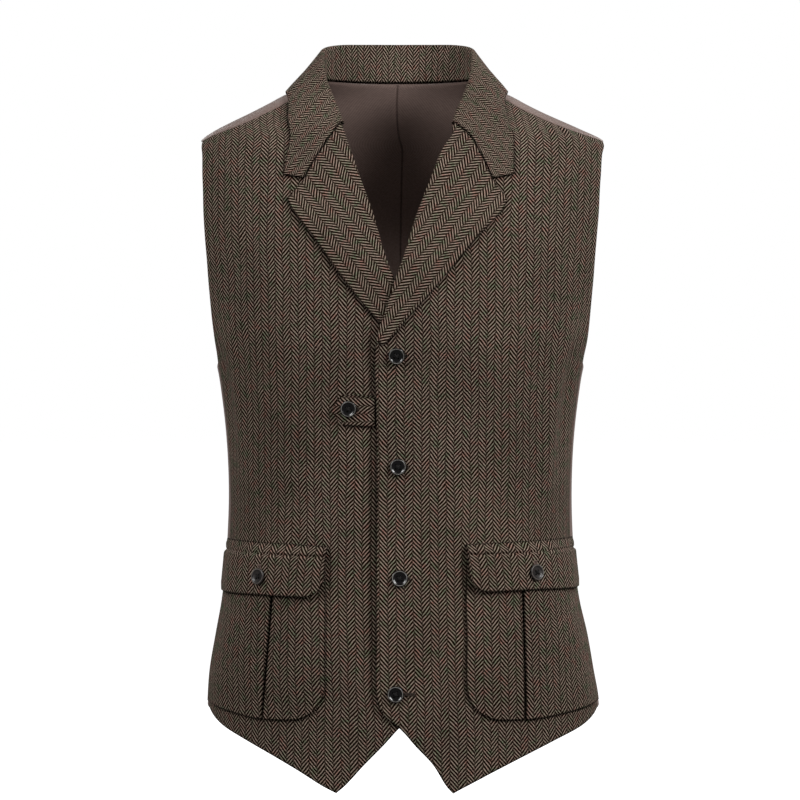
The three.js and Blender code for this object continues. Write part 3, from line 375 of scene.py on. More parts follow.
def fill_patch(first, last, bottom, top):
    """A grid between two side edges, bent near its ends as the lower and upper edge are."""
    v = np.linspace(0, 1, len(first))[:, None, None]
    u = np.linspace(0, 1, len(bottom))[None, :, None]

    def bend(edge):
        share = np.linspace(0, 1, len(edge))[:, None]
        return (edge - edge[0] - share * (edge[-1] - edge[0]))[None]

    straight = (1 - u) * first[:, None] + u * last[:, None]
    return straight + (1 - v) ** BEND_FADE * bend(bottom) + v**BEND_FADE * bend(top)


SETTLE_ROUNDS = 5


def place_of(side, points):
    """The places on the body surface that points lie over."""
    for _ in range(SETTLE_ROUNDS):
        distance, out = body_distance(points)
        points = points - out * distance[..., None]
    height = points[..., 2]
    across = side["sign"] * (points[..., 0] - ring_at(height, SHIFT)) / ring_at(height, HALF_WIDTH)
    sine = signed_power(across, ROUNDNESS / 2)
    cosine = signed_power(-points[..., 1] / depth_at(height, points[..., 1] < 0), ROUNDNESS / 2)
    return np.stack([np.degrees(np.arctan2(sine, cosine)), height], -1)


def fill_bent_patch(side, first, last, bottom, top):
    points = fill_patch(*[body_point(side, edge) for edge in (first, last, bottom, top)])
    grid = place_of(side, points)
    grid[0], grid[-1], grid[:, 0], grid[:, -1] = bottom, top, first, last
    return grid


# Where each piece's cloth lies when it is flat, in millimetres: the weave runs on that


ARC_POINTS = 41


def arc_across(places):
    """The length round the ring from the centre front."""
    sine, cosine = ring_round(places[..., 0, None] * np.linspace(0, 1, ARC_POINTS))
    height = places[..., 1, None]
    x = sine * ring_at(height, HALF_WIDTH)
    y = cosine * depth_at(height, cosine > 0)
    return np.sign(places[..., 0]) * np.hypot(np.diff(x), np.diff(y)).sum(-1)


# Where the slope is measured: lowest and highest height, step and angle, and the steepest one
SLOPE_HEIGHTS = (-650, 45)
SLOPE_STEP = 3.0
SLOPE_ANGLE = 42.0
STEEPEST = 0.94


def slope_length(height):
    """The length up the cloth's slope, counted from height 0."""
    steps = np.arange(*SLOPE_HEIGHTS, SLOPE_STEP)
    normal = body_normal(LEFT, np.stack([np.full(len(steps), SLOPE_ANGLE), steps], -1))
    up = np.cumsum(SLOPE_STEP / np.sqrt(1 - np.clip(normal[:, 2], 0, STEEPEST) ** 2))
    return np.interp(height, steps, up - np.interp(0, steps, up))


def panel_cloth(places, shift=(0, 0)):
    return np.stack([arc_across(places), slope_length(places[..., 1])], -1) + np.array(shift)


def turned(points, side, tilt):
    """Cloth whose columns lean by tilt degrees towards the garment's side."""
    lean = math.radians(tilt)
    x = side["sign"] * points[..., 0]
    z = points[..., 2]
    return np.stack([x * math.cos(lean) - z * math.sin(lean), x * math.sin(lean) + z * math.cos(lean)], -1)


# Meshes


def smooth_grid(grid, axis, per):
    """Adds smooth steps between the rows or columns of a grid."""
    moved = np.moveaxis(grid, axis, 0)
    count = len(moved)
    fine = curve_through(np.arange(count), moved, np.linspace(0, count - 1, (count - 1) * per + 1))
    return np.moveaxis(fine, 0, axis)


def with_rims(grid):
    """Adds a row or column of points just inside each edge of a grid."""
    for axis in (0, 1):
        g = np.moveaxis(grid, axis, 0)
        start = g[:1] + RIM_SHARE * (g[1:2] - g[:1])
        end = g[-1:] + RIM_SHARE * (g[-2:-1] - g[-1:])
        grid = np.moveaxis(np.concatenate([g[:1], start, g[1:-1], end, g[-1:]]), 0, axis)
    return grid


def from_edge(grid):
    """How far each point of a grid lies from the nearest of its four edges, along the cloth."""
    nearest = []
    for axis in (0, 1):
        steps = np.linalg.norm(np.diff(grid, axis=axis), axis=-1)
        length = np.insert(np.cumsum(steps, axis), 0, 0, axis)
        nearest.append(np.minimum(length, length.max(axis, keepdims=True) - length))
    return np.minimum(*nearest)


def wall_mesh(outer, inner, cloth):
    """Points, faces and cloth places of a closed wall with rounded edges between two grids."""
    outer, inner, cloth = (with_rims(grid) for grid in (outer, inner, cloth))
    rows, columns = cloth.shape[:2]
    edge = np.ones((rows, columns), bool)
    edge[1:-1, 1:-1] = False
    middle = (outer + inner) / 2
    # The third part, each point's distance from the wall's edge, is what the materials darken into painted
    # shade
    cloth = np.concatenate([cloth, from_edge(middle)[..., None]], -1)
    for face in (outer, inner):
        face[edge] = middle[edge] + RIM_THICKNESS * (face[edge] - middle[edge])
    points = np.concatenate([outer.reshape(-1, 3), inner.reshape(-1, 3)])
    index = np.arange(2 * rows * columns).reshape(2, rows, columns)
    a, b = index
    front, back = (
        np.stack([g[:-1, :-1], g[:-1, 1:], g[1:, 1:], g[1:, :-1]], -1).reshape(-1, 4) for g in (a, b)
    )
    ring_a, ring_b = (
        np.concatenate([g[0, :-1], g[:-1, -1], g[-1, :0:-1], g[:0:-1, 0]]) for g in (a, b)
    )
    rim = np.stack([ring_a, ring_b, np.roll(ring_b, -1), np.roll(ring_a, -1)], -1)
    faces = np.concatenate([front, back[:, [0, 3, 2, 1]], rim])
    first, second, third, fourth = np.moveaxis(points[faces], 1, 0)
    if np.sum(first * (np.cross(second, third) + np.cross(third, fourth))) < 0:
        faces = faces[:, ::-1]
    return points, faces, np.concatenate([cloth.reshape(-1, 3)] * 2)


def in_scene(name, data):
    made = bpy.data.objects.new(name, data)
    bpy.context.scene.collection.objects.link(made)
    return made


def new_piece(name, points, faces, cloth=None):
    """An object from points in millimetres, with smooth faces."""
    mesh = bpy.data.meshes.new(name)
    mesh.from_pydata((np.asarray(points) * MM).tolist(), [], [list(map(int, face)) for face in faces])
    if cloth is not None:
        flat = np.zeros((len(points), 3), np.float32)
        flat[:, : cloth.shape[1]] = cloth
        layer = mesh.attributes.new("cloth", "FLOAT_VECTOR", "POINT")
        layer.data.foreach_set("vector", flat.ravel())
    mesh.polygons.foreach_set("use_smooth", [True] * len(mesh.polygons))
    mesh.update()
    return in_scene(name, mesh)


def joined(parts):
    """Several sets of points, faces and cloth places as one."""
    points, faces, cloths = [], [], []
    start = 0
    for part_points, part_faces, cloth in parts:
        points.append(part_points)
        faces.extend((np.asarray(face) + start) for face in part_faces)
        cloths.append(cloth)
        start += len(part_points)
    return np.concatenate(points), faces, np.concatenate(cloths)


def cloth_wall(side, places, rise, cloth):
    """A wall of cloth over a grid of places, whose inner face lies rise above the panel."""
    return wall_mesh(layer_point(side, places, rise + CLOTH), layer_point(side, places, rise), cloth)


# Fronts and backs

CUTAWAY_ROWS = 5 * FINE_ROWS
CLOSING_ROWS = 12 * FINE_ROWS
STEP_ROWS = FINE_ROWS
ROLL_ROWS = 14 * FINE_ROWS
NECK_ROWS = 4 * FINE_ROWS
PANEL_COLUMNS = 12 * FINE_COLUMNS
NECK_COLUMNS = 5 * FINE_COLUMNS
ARMHOLE_ROWS = 11 * FINE_ROWS
# How fast the painted shadow beside what lies on a front ends: a higher number is a narrower painted shadow
CLOSING_SHADE = 0.6
LAPEL_SHADE = {"right": 0.45, "left": 1.1}
COLLAR_SHADE = {"right": 0.5, "left": 1.0}
BUTTON_SHADE_RADIUS = 7.2


def roll_places(side, distance):
    """The roll line, moved in from the closing by a distance."""
    line = spread_rows(side, ROLL_LINE, ROLL_ROWS)
    inward = spread_rows(side, np.array(ROLL_LINE) + [0, LAPEL_START, 0], ROLL_ROWS)
    return line + distance / LAPEL_START * (inward - line)


def side_seam(side, angle, rows):
    return spread(side, [(angle, SIDE_HEM), (angle, ARMHOLE_FOOT)], rows)


def front_places(side):
    angle = SEAM_ANGLE - SEAM_GAP_ANGLE
    seam = side_seam(side, angle, CUTAWAY_ROWS + CLOSING_ROWS)
    armhole_parts = [(angle, ARMHOLE_FOOT), place_at(side, FRONT_ARMHOLE)]
    armhole = spread(side, armhole_parts, STEP_ROWS + ROLL_ROWS + NECK_ROWS)
    roll_edge = roll_places(side, ROLL_INSET)
    neck = place_at(side, FRONT_NECK[1:])
    edge_end = place_at(side, CLOSING_EDGE[-1:])
    inner = join_runs(
        spread_rows(side, CUTAWAY, CUTAWAY_ROWS),
        spread_rows(side, CLOSING_EDGE, CLOSING_ROWS),
        edge_end + np.linspace(0, 1, STEP_ROWS + 1)[:, None] * (roll_edge[:1] - edge_end),
        roll_edge,
        spread(side, [roll_edge[-1], neck], NECK_ROWS),
    )
    hem = spread(side, [(angle, SIDE_HEM), place_at(side, HEM)], PANEL_COLUMNS)
    shoulder = spread_rows(side, SHOULDER_SEAM, PANEL_COLUMNS) - [SHOULDER_GAP_ANGLE, 0]
    armhole[-1] = shoulder[0]
    inner[-1] = shoulder[-1]
    flat = [lay_out(run) for run in (join_runs(seam, armhole), inner, hem, shoulder)]
    return take_up(side, fill_patch(*flat))


def back_places(side):
    angle = SEAM_ANGLE + SEAM_GAP_ANGLE

    def within(places):
        places = np.array(places)
        places[:, 0] = np.clip(places[:, 0], angle, CENTRE_BACK_ANGLE)
        return places

    columns = PANEL_COLUMNS + NECK_COLUMNS
    hem = within(spread(side, BACK_HEM, columns))
    underarm = within(spread(side, UNDERARM, columns))
    armhole = within(spread(side, BACK_ARMHOLE, ARMHOLE_ROWS))
    shoulder = spread_rows(side, SHOULDER_SEAM, PANEL_COLUMNS) + [SHOULDER_GAP_ANGLE, 0]
    top = join_runs(shoulder, within(spread(side, BACK_NECK, NECK_COLUMNS)))

    def centre_run(start, end, rows):
        return spread(side, [(CENTRE_BACK_ANGLE, start[1]), (CENTRE_BACK_ANGLE, end[1])], rows)

    seam_rows = CUTAWAY_ROWS + CLOSING_ROWS
    seam = side_seam(side, angle, seam_rows)
    armhole[-1] = top[0]
    lower = fill_patch(seam, centre_run(hem[-1], underarm[-1], seam_rows), hem, underarm)
    upper_centre = centre_run(underarm[-1], top[-1], ARMHOLE_ROWS)
    return join_runs(lower, fill_bent_patch(side, armhole, upper_centre, underarm, top))


def gap_to_line(points, line):
    """Each point's distance from a line of points, as seen from the front."""
    line = line[:, [0, 2]]
    places = points[:, [0, 2]]
    return np.min([segment_gap(places, *ends)[0] for ends in zip(line[:-1], line[1:])], axis=0)


def shaded_under(mesh, lines, discs):
    """Paints shadow into a piece's cloth just beside the edges and the buttons that lie over it."""
    points, faces, cloth = mesh
    for line, steepness in lines:
        cloth[:, 2] = np.minimum(cloth[:, 2], steepness * gap_to_line(points, line))
    for middle in discs:
        gap = np.linalg.norm(points - middle, axis=1) - BUTTON_SHADE_RADIUS
        cloth[:, 2] = np.minimum(cloth[:, 2], gap)
    return points, faces, cloth


# Lapels and collar

LAPEL_STEPS = 7
LAPEL_COLUMNS = 6
LAPEL_TOP_COLUMNS = 4
# From where to where the lapel comes clear of the front, and from which share up its puff fades
LAPEL_CLEAR = (-185, -120)
LAPEL_PUFF_FADE = 0.7
LAPEL_TILT = 37
LAPEL_WEAVE = (1, 1.15)


def lapel_mesh(side):
    rolled = roll_places(side, LAPEL_START)
    edge = spread_rows(side, LAPEL_EDGE, ROLL_ROWS)
    notch = place_at(side, [GORGE_NOTCH, LAPEL_TIP])
    bottom = spread(side, [rolled[0], edge[0]], LAPEL_COLUMNS)
    top = join_runs(
        spread(side, [rolled[-1], notch[0]], LAPEL_TOP_COLUMNS),
        spread(side, notch, LAPEL_COLUMNS - LAPEL_TOP_COLUMNS),
    )
    places = fill_patch(rolled, edge, bottom, top)
    share = np.linspace(0, 1, LAPEL_COLUMNS + 1)[None, :]
    row_share = np.linspace(0, 1, ROLL_ROWS + 1)[:, None]
    clear = smooth_step(places[..., 1], *LAPEL_CLEAR)
    puff = LAPEL_PUFF * np.sin(math.pi * share) * (1 - smooth_step(row_share, LAPEL_PUFF_FADE, 1))
    rise = LAYER_GAP + (LAPEL_EASE + puff) * clear
    faces = []
    for column, lift in ((0, CLOTH), (2, 0)):
        roll = [layer_point(side, roll_places(side, row[column]), row[column + 1]) for row in ROLL_SECTION]
        face = np.concatenate([np.stack(roll, 1), layer_point(side, places, rise + lift)], 1)
        faces.append(smooth_grid(face, 1, LAPEL_STEPS))
    outer, inner = faces
    cloth = turned(outer, side, LAPEL_TILT) * LAPEL_WEAVE
    return wall_mesh(outer, inner, cloth)


COLLAR_STEPS = 6
FRONT_ROWS = 9 * COLLAR_STEPS
BACK_ROWS = 7 * COLLAR_STEPS
STAND_COLUMNS = 8
FOLD_COLUMNS = 12
LEAF_COLUMNS = 28
LEAF_NOTCH_COLUMN = 20
LEAF_RISE = LAYER_GAP + LEAF_EASE + CLOTH / 2
LEAF_START = STAND_COLUMNS + FOLD_COLUMNS
LEAF_FADE = 6
CLEAR_ROUNDS = 4
END_ROWS = 5 * COLLAR_STEPS


def keep_outside(points, clearance):
    """Moves out what lies less than the clearance above the body surface."""
    for _ in range(CLEAR_ROUNDS):
        distance, out = body_distance(points)
        points = points + out * np.maximum(clearance - distance, 0)[..., None]
    return points


def collar_section(side, station, foot_place, end_moves, end_share):
    """The middle of the collar's wall at a station: stand, fold and leaf, from foot to edge."""
    fold = np.array([COLLAR_SHIFT + side["sign"] * station[0], station[1], station[2]])
    foot = layer_point(side, foot_place, -CLOTH / 2)
    edge_place = station[3:]
    edge = layer_point(side, edge_place, LEAF_RISE)
    aim_height = edge_place[1] + end_share * (foot_place[1] - edge_place[1])
    aim = layer_point(side, np.array([edge_place[0], aim_height]), LEAF_RISE)
    to_foot = unit(foot - fold)
    to_edge = unit(aim - fold)
    into = unit(to_foot + to_edge)
    sideways = unit(to_edge - to_foot)
    half_angle = math.acos(float(np.clip(to_foot @ to_edge, -1, 1))) / 2
    turn = (2 * np.linspace(0, 1, FOLD_COLUMNS + 1) - 1)[:, None] * (math.pi / 2 - half_angle)
    bend = fold + FOLD_RADIUS * (into * (1 - np.cos(turn)) + sideways * np.sin(turn))
    stand = foot + np.linspace(0, 1, STAND_COLUMNS + 1)[:-1, None] * (bend[0] - foot)
    share = np.linspace(0, 1, LEAF_COLUMNS + 1)[1:, None]
    leaf = bend[-1] + share * (edge - bend[-1])
    leaf = leaf + sideways * LEAF_BULGE * np.sin(math.pi * share) * (1 - end_share)
    if end_moves is not None:
        leaf = leaf + end_share * end_moves
    return np.concatenate([stand, bend, keep_outside(leaf, LEAF_RISE)])


def collar_stations(first, last, count):
    named = COLLAR_STATIONS[first : last + 1]
    knots = lengths(named[:, :3])
    return curve_through(knots, named, np.linspace(0, knots[-1], count + 1))


def collar_half(side):
    front_rows = np.array([STAND_START, *FRONT_NECK[1:]]) - [0, STAND_FRONT_GAP, 0]
    back_foot = np.array(BACK_NECK) + [0, STAND_BACK_GAP]
    front_foot = np.concatenate([place_at(side, front_rows)[:-1], back_foot[:1]])
    feet = join_runs(spread(side, front_foot, FRONT_ROWS), spread(side, back_foot, BACK_ROWS))
    stations = join_runs(
        collar_stations(0, SHOULDER_STATION, FRONT_ROWS),
        collar_stations(SHOULDER_STATION, len(COLLAR_STATIONS) - 1, BACK_ROWS),
    )
    straight = collar_section(side, stations[0], feet[0], None, 1)[-LEAF_COLUMNS:]
    lift = np.array([GORGE_GAP, 0, 0])
    start = np.array(ROLL_LINE[-1]) + lift + [0, FOLD_RADIUS, 0]
    notch = np.array(GORGE_NOTCH) + lift
    line = join_runs(
        spread_rows(side, [start, notch], LEAF_NOTCH_COLUMN),
        spread_rows(side, [notch, COLLAR_TIP], LEAF_COLUMNS - LEAF_NOTCH_COLUMN),
    )
    moves = layer_point(side, line[1:], LEAF_RISE) - straight
    sections = []
    for r, station in enumerate(stations):
        end_share = max(1 - r / END_ROWS, 0) ** 2
        sections.append(collar_section(side, station, feet[r], moves, end_share))
    return np.array(sections)


def straight_end(middle, cloth):
    """Carries the leaf's weave straight on to the collar's end, as on one flat piece of cloth."""
    flat = np.stack([middle[..., 0], middle[..., 2], np.ones(middle.shape[:2])], -1)
    even = np.s_[2 * END_ROWS // 3 : END_ROWS + COLLAR_STEPS, LEAF_START:]
    carry = np.linalg.lstsq(flat[even].reshape(-1, 3), cloth[even].reshape(-1, 2), rcond=None)[0]
    rows, columns = np.indices(middle.shape[:2])
    share = smooth_step(columns, LEAF_START, LEAF_START + LEAF_FADE)
    share = share * (1 - smooth_step(rows, END_ROWS // 2, END_ROWS))
    return cloth + share[..., None] * (flat @ carry - cloth)


def collar_mesh():
    right, left = (collar_half(side) for side in SIDES)
    middle = np.concatenate([right, left[:-1][::-1]])
    along_collar = np.gradient(middle, axis=0)
    down = np.gradient(middle, axis=1)
    normal = unit(np.cross(along_collar, down))
    fold = STAND_COLUMNS + FOLD_COLUMNS // 2
    leaf_middle = middle[:, fold + LEAF_COLUMNS // 2]
    u = lengths(leaf_middle)[:, None] * np.ones(middle.shape[1])
    steps = np.linalg.norm(np.diff(middle, axis=1), axis=-1)
    v = np.insert(np.cumsum(steps, 1), 0, 0, 1)
    v = v - v[:, fold : fold + 1]
    cloth = np.stack([u - u[len(middle) // 2], v], -1)
    cloth = straight_end(middle, cloth)
    cloth = straight_end(middle[::-1], cloth[::-1])[::-1]
    return wall_mesh(middle + normal * CLOTH / 2, middle - normal * CLOTH / 2, cloth)


# Pockets, flaps and tab

CORNER_MIDDLE = 45
CORNER_STEPS = 3
POCKET_ROWS = 84
POCKET_COLUMNS = 140
POCKET_EDGE_KNOT = -480
# The foot edge's inner knots: how far in from the front edge, how far up and across
POCKET_FOOT_IN = 62
POCKET_FOOT_KNOT = (3.5, 150)
POCKET_FADE_ANGLE = 62
PUFF_START = (30, 40)
PLEAT_WIDTH = 2.2
PLEAT_SINK = 0.35
# The halves of a patch before and beyond the pleat: columns, and how far their weave is shifted
PATCH_HALVES = [(False, 64, (-2.6, -0.7)), (True, 56, (3.4, 0.9))]
FLAP_ROWS = 72
FLAP_COLUMNS = 96
FLAP_FOOT_KNOT = (0.6, 118)
FLAP_TOP_KNOT = 110
FLAP_SEAM_START = 20
POCKET_TOP_CLEAR = 3
# Along the flap's top: how high, how far below its upper edge, how wide
FLAP_RIDGE = (0.9, 5, 2.6)
FLAP_GROOVE = (2.4, 10.2, 1.3)
FLAP_CORNER_WIDTH = 24
FLAP_SHIFT = (5.1, 1.2)
FLAP_LEAN = 0.06
TAB_ROWS = 32
TAB_COLUMNS = 40


def corner_arc(side_part, in_from_front, end):
    """Rows of a rounded corner from its middle: up the front edge to 0, or along the foot to 90."""
    radius = side_part["corner"]
    angle = np.radians(np.linspace(CORNER_MIDDLE, end, CORNER_STEPS + 1))
    across = side_part["front"] + in_from_front + radius - radius * np.cos(angle)
    height = side_part["foot"] + radius - radius * np.sin(angle)
    return [*zip(height, across, np.zeros(len(angle)))]


def pleat_across(side, height):
    pleat = np.array(side["pleat"])[::-1]
    return curve_through(pleat[:, 0], pleat[:, 1], height)


def pocket_places(side):
    p = side["pocket"]
    knots = [(POCKET_EDGE_KNOT, p["front"], 0), (p["top"], p["front"], 0)]
    front_edge = spread_rows(side, corner_arc(p, 0, 0) + knots, POCKET_ROWS)
    up, across = POCKET_FOOT_KNOT
    knots = [(p["foot"], p["front"] + POCKET_FOOT_IN, 0), (p["foot"] + up, across, 0)]
    foot_end = (POCKET_END_ANGLE, p["side_foot"])
    foot_edge = spread(side, [place_at(side, corner_arc(p, 0, 90) + knots), foot_end], POCKET_COLUMNS)
    top_end = (POCKET_END_ANGLE, p["top"])
    end_edge = spread(side, [foot_end, top_end], POCKET_ROWS)
    top_edge = spread(side, [place_at(side, (p["top"], p["front"], 0)), top_end], POCKET_COLUMNS)
    return fill_patch(front_edge, end_edge, foot_edge, top_edge)


def pocket_mesh(side):
    """The patch in two halves that meet at the pleat, the side half a little higher."""
    p = side["pocket"]
    places = pocket_places(side)
    x = side["sign"] * body_point(side, places)[..., 0]
    offset = x - pleat_across(side, places[..., 1])
    share = np.linspace(0, 1, places.shape[1])
    width = x[:, -1] - x[:, 0]
    halves = []
    for beyond, columns, shift in PATCH_HALVES:
        rows = []
        for r in range(len(places)):
            at = np.interp(0, offset[r], share)
            gap = PLEAT_GAP / width[r]
            across = np.linspace(at + gap, 1, columns) if beyond else np.linspace(0, at - gap, columns)
            rows.append(np.stack([np.interp(across, share, places[r, :, k]) for k in (0, 1)], -1))
        half = np.array(rows)
        half_x = side["sign"] * body_point(side, half)[..., 0]
        from_side = 1 - smooth_step(half[..., 0], POCKET_FADE_ANGLE, POCKET_END_ANGLE)
        full = smooth_step(half_x, p["front"], p["front"] + PUFF_START[0]) * from_side
        full = full * smooth_step(half[..., 1], p["foot"], p["foot"] + PUFF_START[1])
        near = hump(half_x - pleat_across(side, half[..., 1]), PLEAT_WIDTH)
        rise = LAYER_GAP + POCKET_PUFF * full * (1 - PLEAT_SINK * near)
        if beyond:
            rise = rise + PLEAT_STEP * from_side
        halves.append(cloth_wall(side, half, rise, panel_cloth(half, shift)))
    return joined(halves)


def flap_rise(side, places):
    f = side["flap"]
    height = places[..., 1]
    below = 1 - smooth_step(height, side["pocket"]["top"] + POCKET_TOP_CLEAR, f["top"])
    over_seam = 1 - smooth_step(height, f["foot"], f["top"])
    from_side = 1 - smooth_step(places[..., 0], FLAP_FADE_ANGLE, FLAP_END_ANGLE)
    on_patch = LAYER_STEP + (POCKET_PUFF + PLEAT_STEP + FLAP_RISE * over_seam) * from_side
    share = smooth_step(places[..., 0], FLAP_SEAM_START, FLAP_END_ANGLE)
    from_seam = height - f["top"] - (f["side_top"] - f["top"]) * share
    ridge, groove = (
        high * hump(from_seam + low, width) for high, low, width in (FLAP_RIDGE, FLAP_GROOVE)
    )
    across = side["sign"] * body_point(side, places)[..., 0] - f["front"]
    corner = FLAP_CORNER_LIFT * hump(across, FLAP_CORNER_WIDTH) * over_seam
    return LAYER_GAP + on_patch * below + ridge - groove * below + corner


def flap_mesh(side):
    f = side["flap"]
    front_rows = corner_arc(f, FLAP_TAPER, 0) + [(f["top"], f["front"], 0)]
    front_edge = spread_rows(side, front_rows, FLAP_ROWS)
    foot_end = (FLAP_END_ANGLE, f["side_foot"] + FLAP_END_LIFT)
    before_end = (FLAP_END_ANGLE - FLAP_END_TURN, f["side_foot"])
    top_end = (FLAP_END_ANGLE, f["side_top"])
    up, across = FLAP_FOOT_KNOT
    foot_rows = corner_arc(f, FLAP_TAPER, 90) + [(f["foot"] + up, across, 0)]
    foot_edge = spread(side, [place_at(side, foot_rows), before_end, foot_end], FLAP_COLUMNS)
    top_rows = [(f["top"], f["front"], 0), ((f["top"] + f["side_top"]) / 2, FLAP_TOP_KNOT, 0)]
    top_edge = spread(side, [place_at(side, top_rows), top_end], FLAP_COLUMNS)
    end_edge = spread(side, [foot_end, top_end], FLAP_ROWS)
    places = fill_patch(front_edge, end_edge, foot_edge, top_edge)
    cloth = panel_cloth(places, FLAP_SHIFT)
    cloth[..., 0] += FLAP_LEAN * cloth[..., 1]
    return cloth_wall(side, places, flap_rise(side, places), cloth)


def tab_mesh():
    t = TAB

    def at(across, height):
        return place_at(RIGHT, (height, across, 0))

    low_root, high_root = at(t["root"], t["bottom"]), at(t["root"], t["top"])
    low_end = at(t["shoulder"], t["bottom"] + t["drop"])
    high_end = at(t["shoulder"], t["top"] + t["drop"])
    tip = at(t["tip"], t["tip_height"])
    places = fill_patch(
        spread(RIGHT, [low_root, high_root], TAB_ROWS),
        join_runs(*[spread(RIGHT, ends, TAB_ROWS // 2) for ends in ([low_end, tip], [tip, high_end])]),
        spread(RIGHT, [low_root, low_end], TAB_COLUMNS),
        spread(RIGHT, [high_root, high_end], TAB_COLUMNS),
    )
    cloth = panel_cloth(places)[..., ::-1]
    return cloth_wall(RIGHT, places, np.full(places.shape[:-1], LAYER_GAP), cloth)


# Materials


def node(tree, kind, **settings):
    made = tree.nodes.new(kind)
    for name, value in settings.items():
        setattr(made, name, value)
    return made


def put(tree, sockets, values):
    """Links a value that is another node's socket, and sets one that is a number or colour."""
    for socket, value in zip(sockets, values):
        if isinstance(value, bpy.types.NodeSocket):
            tree.links.new(value, socket)
        else:
            socket.default_value = value


def feed(tree, target, **values):
    """Fills the named sockets of a node; an underscore stands for a space."""
    put(tree, [target.inputs[name.replace("_", " ")] for name in values], values.values())


def calc(tree, operation, *values):
    made = node(tree, "ShaderNodeMath", operation=operation)
    put(tree, made.inputs, values)
    return made.outputs[0]


def noise(tree, vector, scale, detail=3.0, roughness=0.5):
    made = node(tree, "ShaderNodeTexNoise")
    feed(tree, made, Vector=vector, Scale=scale, Detail=detail, Roughness=roughness)
    return made.outputs["Fac"]


def ramp(tree, factor, *stops):
    """A colour from a number, through stops of position and colour."""
    made = node(tree, "ShaderNodeValToRGB")
    elements = made.color_ramp.elements
    while len(elements) < len(stops):
        elements.new(0.5)
    for element, (position, colour) in zip(elements, stops):
        element.position = position
        element.color = colour
    tree.links.new(factor, made.inputs[0])
    return made.outputs[0]


def remap(tree, value, low, high, new_low, new_high, kind="SMOOTHSTEP"):
    """The value's range from low to high carried over to new_low to new_high."""
    made = node(tree, "ShaderNodeMapRange", interpolation_type=kind)
    feed(tree, made, Value=value, From_Min=low, From_Max=high, To_Min=new_low, To_Max=new_high)
    return made.outputs[0]


def mix(tree, kind, factor, first, second):
    made = node(tree, "ShaderNodeMix", data_type="RGBA", blend_type=kind)
    put(tree, [made.inputs[k] for k in (0, 6, 7)], (factor, first, second))
    return made.outputs[2]


def colour(red, green, blue):
    """A linear colour from one in 0 to 255."""
    parts = [c / 255 for c in (red, green, blue)]
    linear = [c / 12.92 if c < 0.04045 else ((c + 0.055) / 1.055) ** 2.4 for c in parts]
    return (*linear, 1.0)


def new_material(name):
    material = bpy.data.materials.new(name)
    material.use_nodes = True
    return material, material.node_tree, material.node_tree.nodes["Principled BSDF"]


def cloth_place(tree):
    """Where a point lies on the flat cloth, that place's two parts, and its distance from the edge or from
    what lies over it, which the materials turn into painted shade.
    """
    attribute = node(tree, "ShaderNodeAttribute", attribute_name="cloth")
    parts = node(tree, "ShaderNodeSeparateXYZ")
    flat = node(tree, "ShaderNodeCombineXYZ")
    put(tree, parts.inputs, [attribute.outputs["Vector"]])
    put(tree, flat.inputs, parts.outputs[:2])
    return flat.outputs[0], *parts.outputs


def bump(tree, height, strength, distance):
    made = node(tree, "ShaderNodeBump")
    feed(tree, made, Height=height, Strength=strength, Distance=distance)
    return made.outputs[0]


# The herringbone: its columns' width, the stripes' pitch upwards and slope, how far every second
# column is shifted up, and how far from a column's edge its stripes fade
COLUMN_WIDTH = 7.65
STRIPE_PITCH = 3.95
STROKE_SLOPE = 1.14
COLUMN_BREAK = 1.95
STROKE_END = 1.1


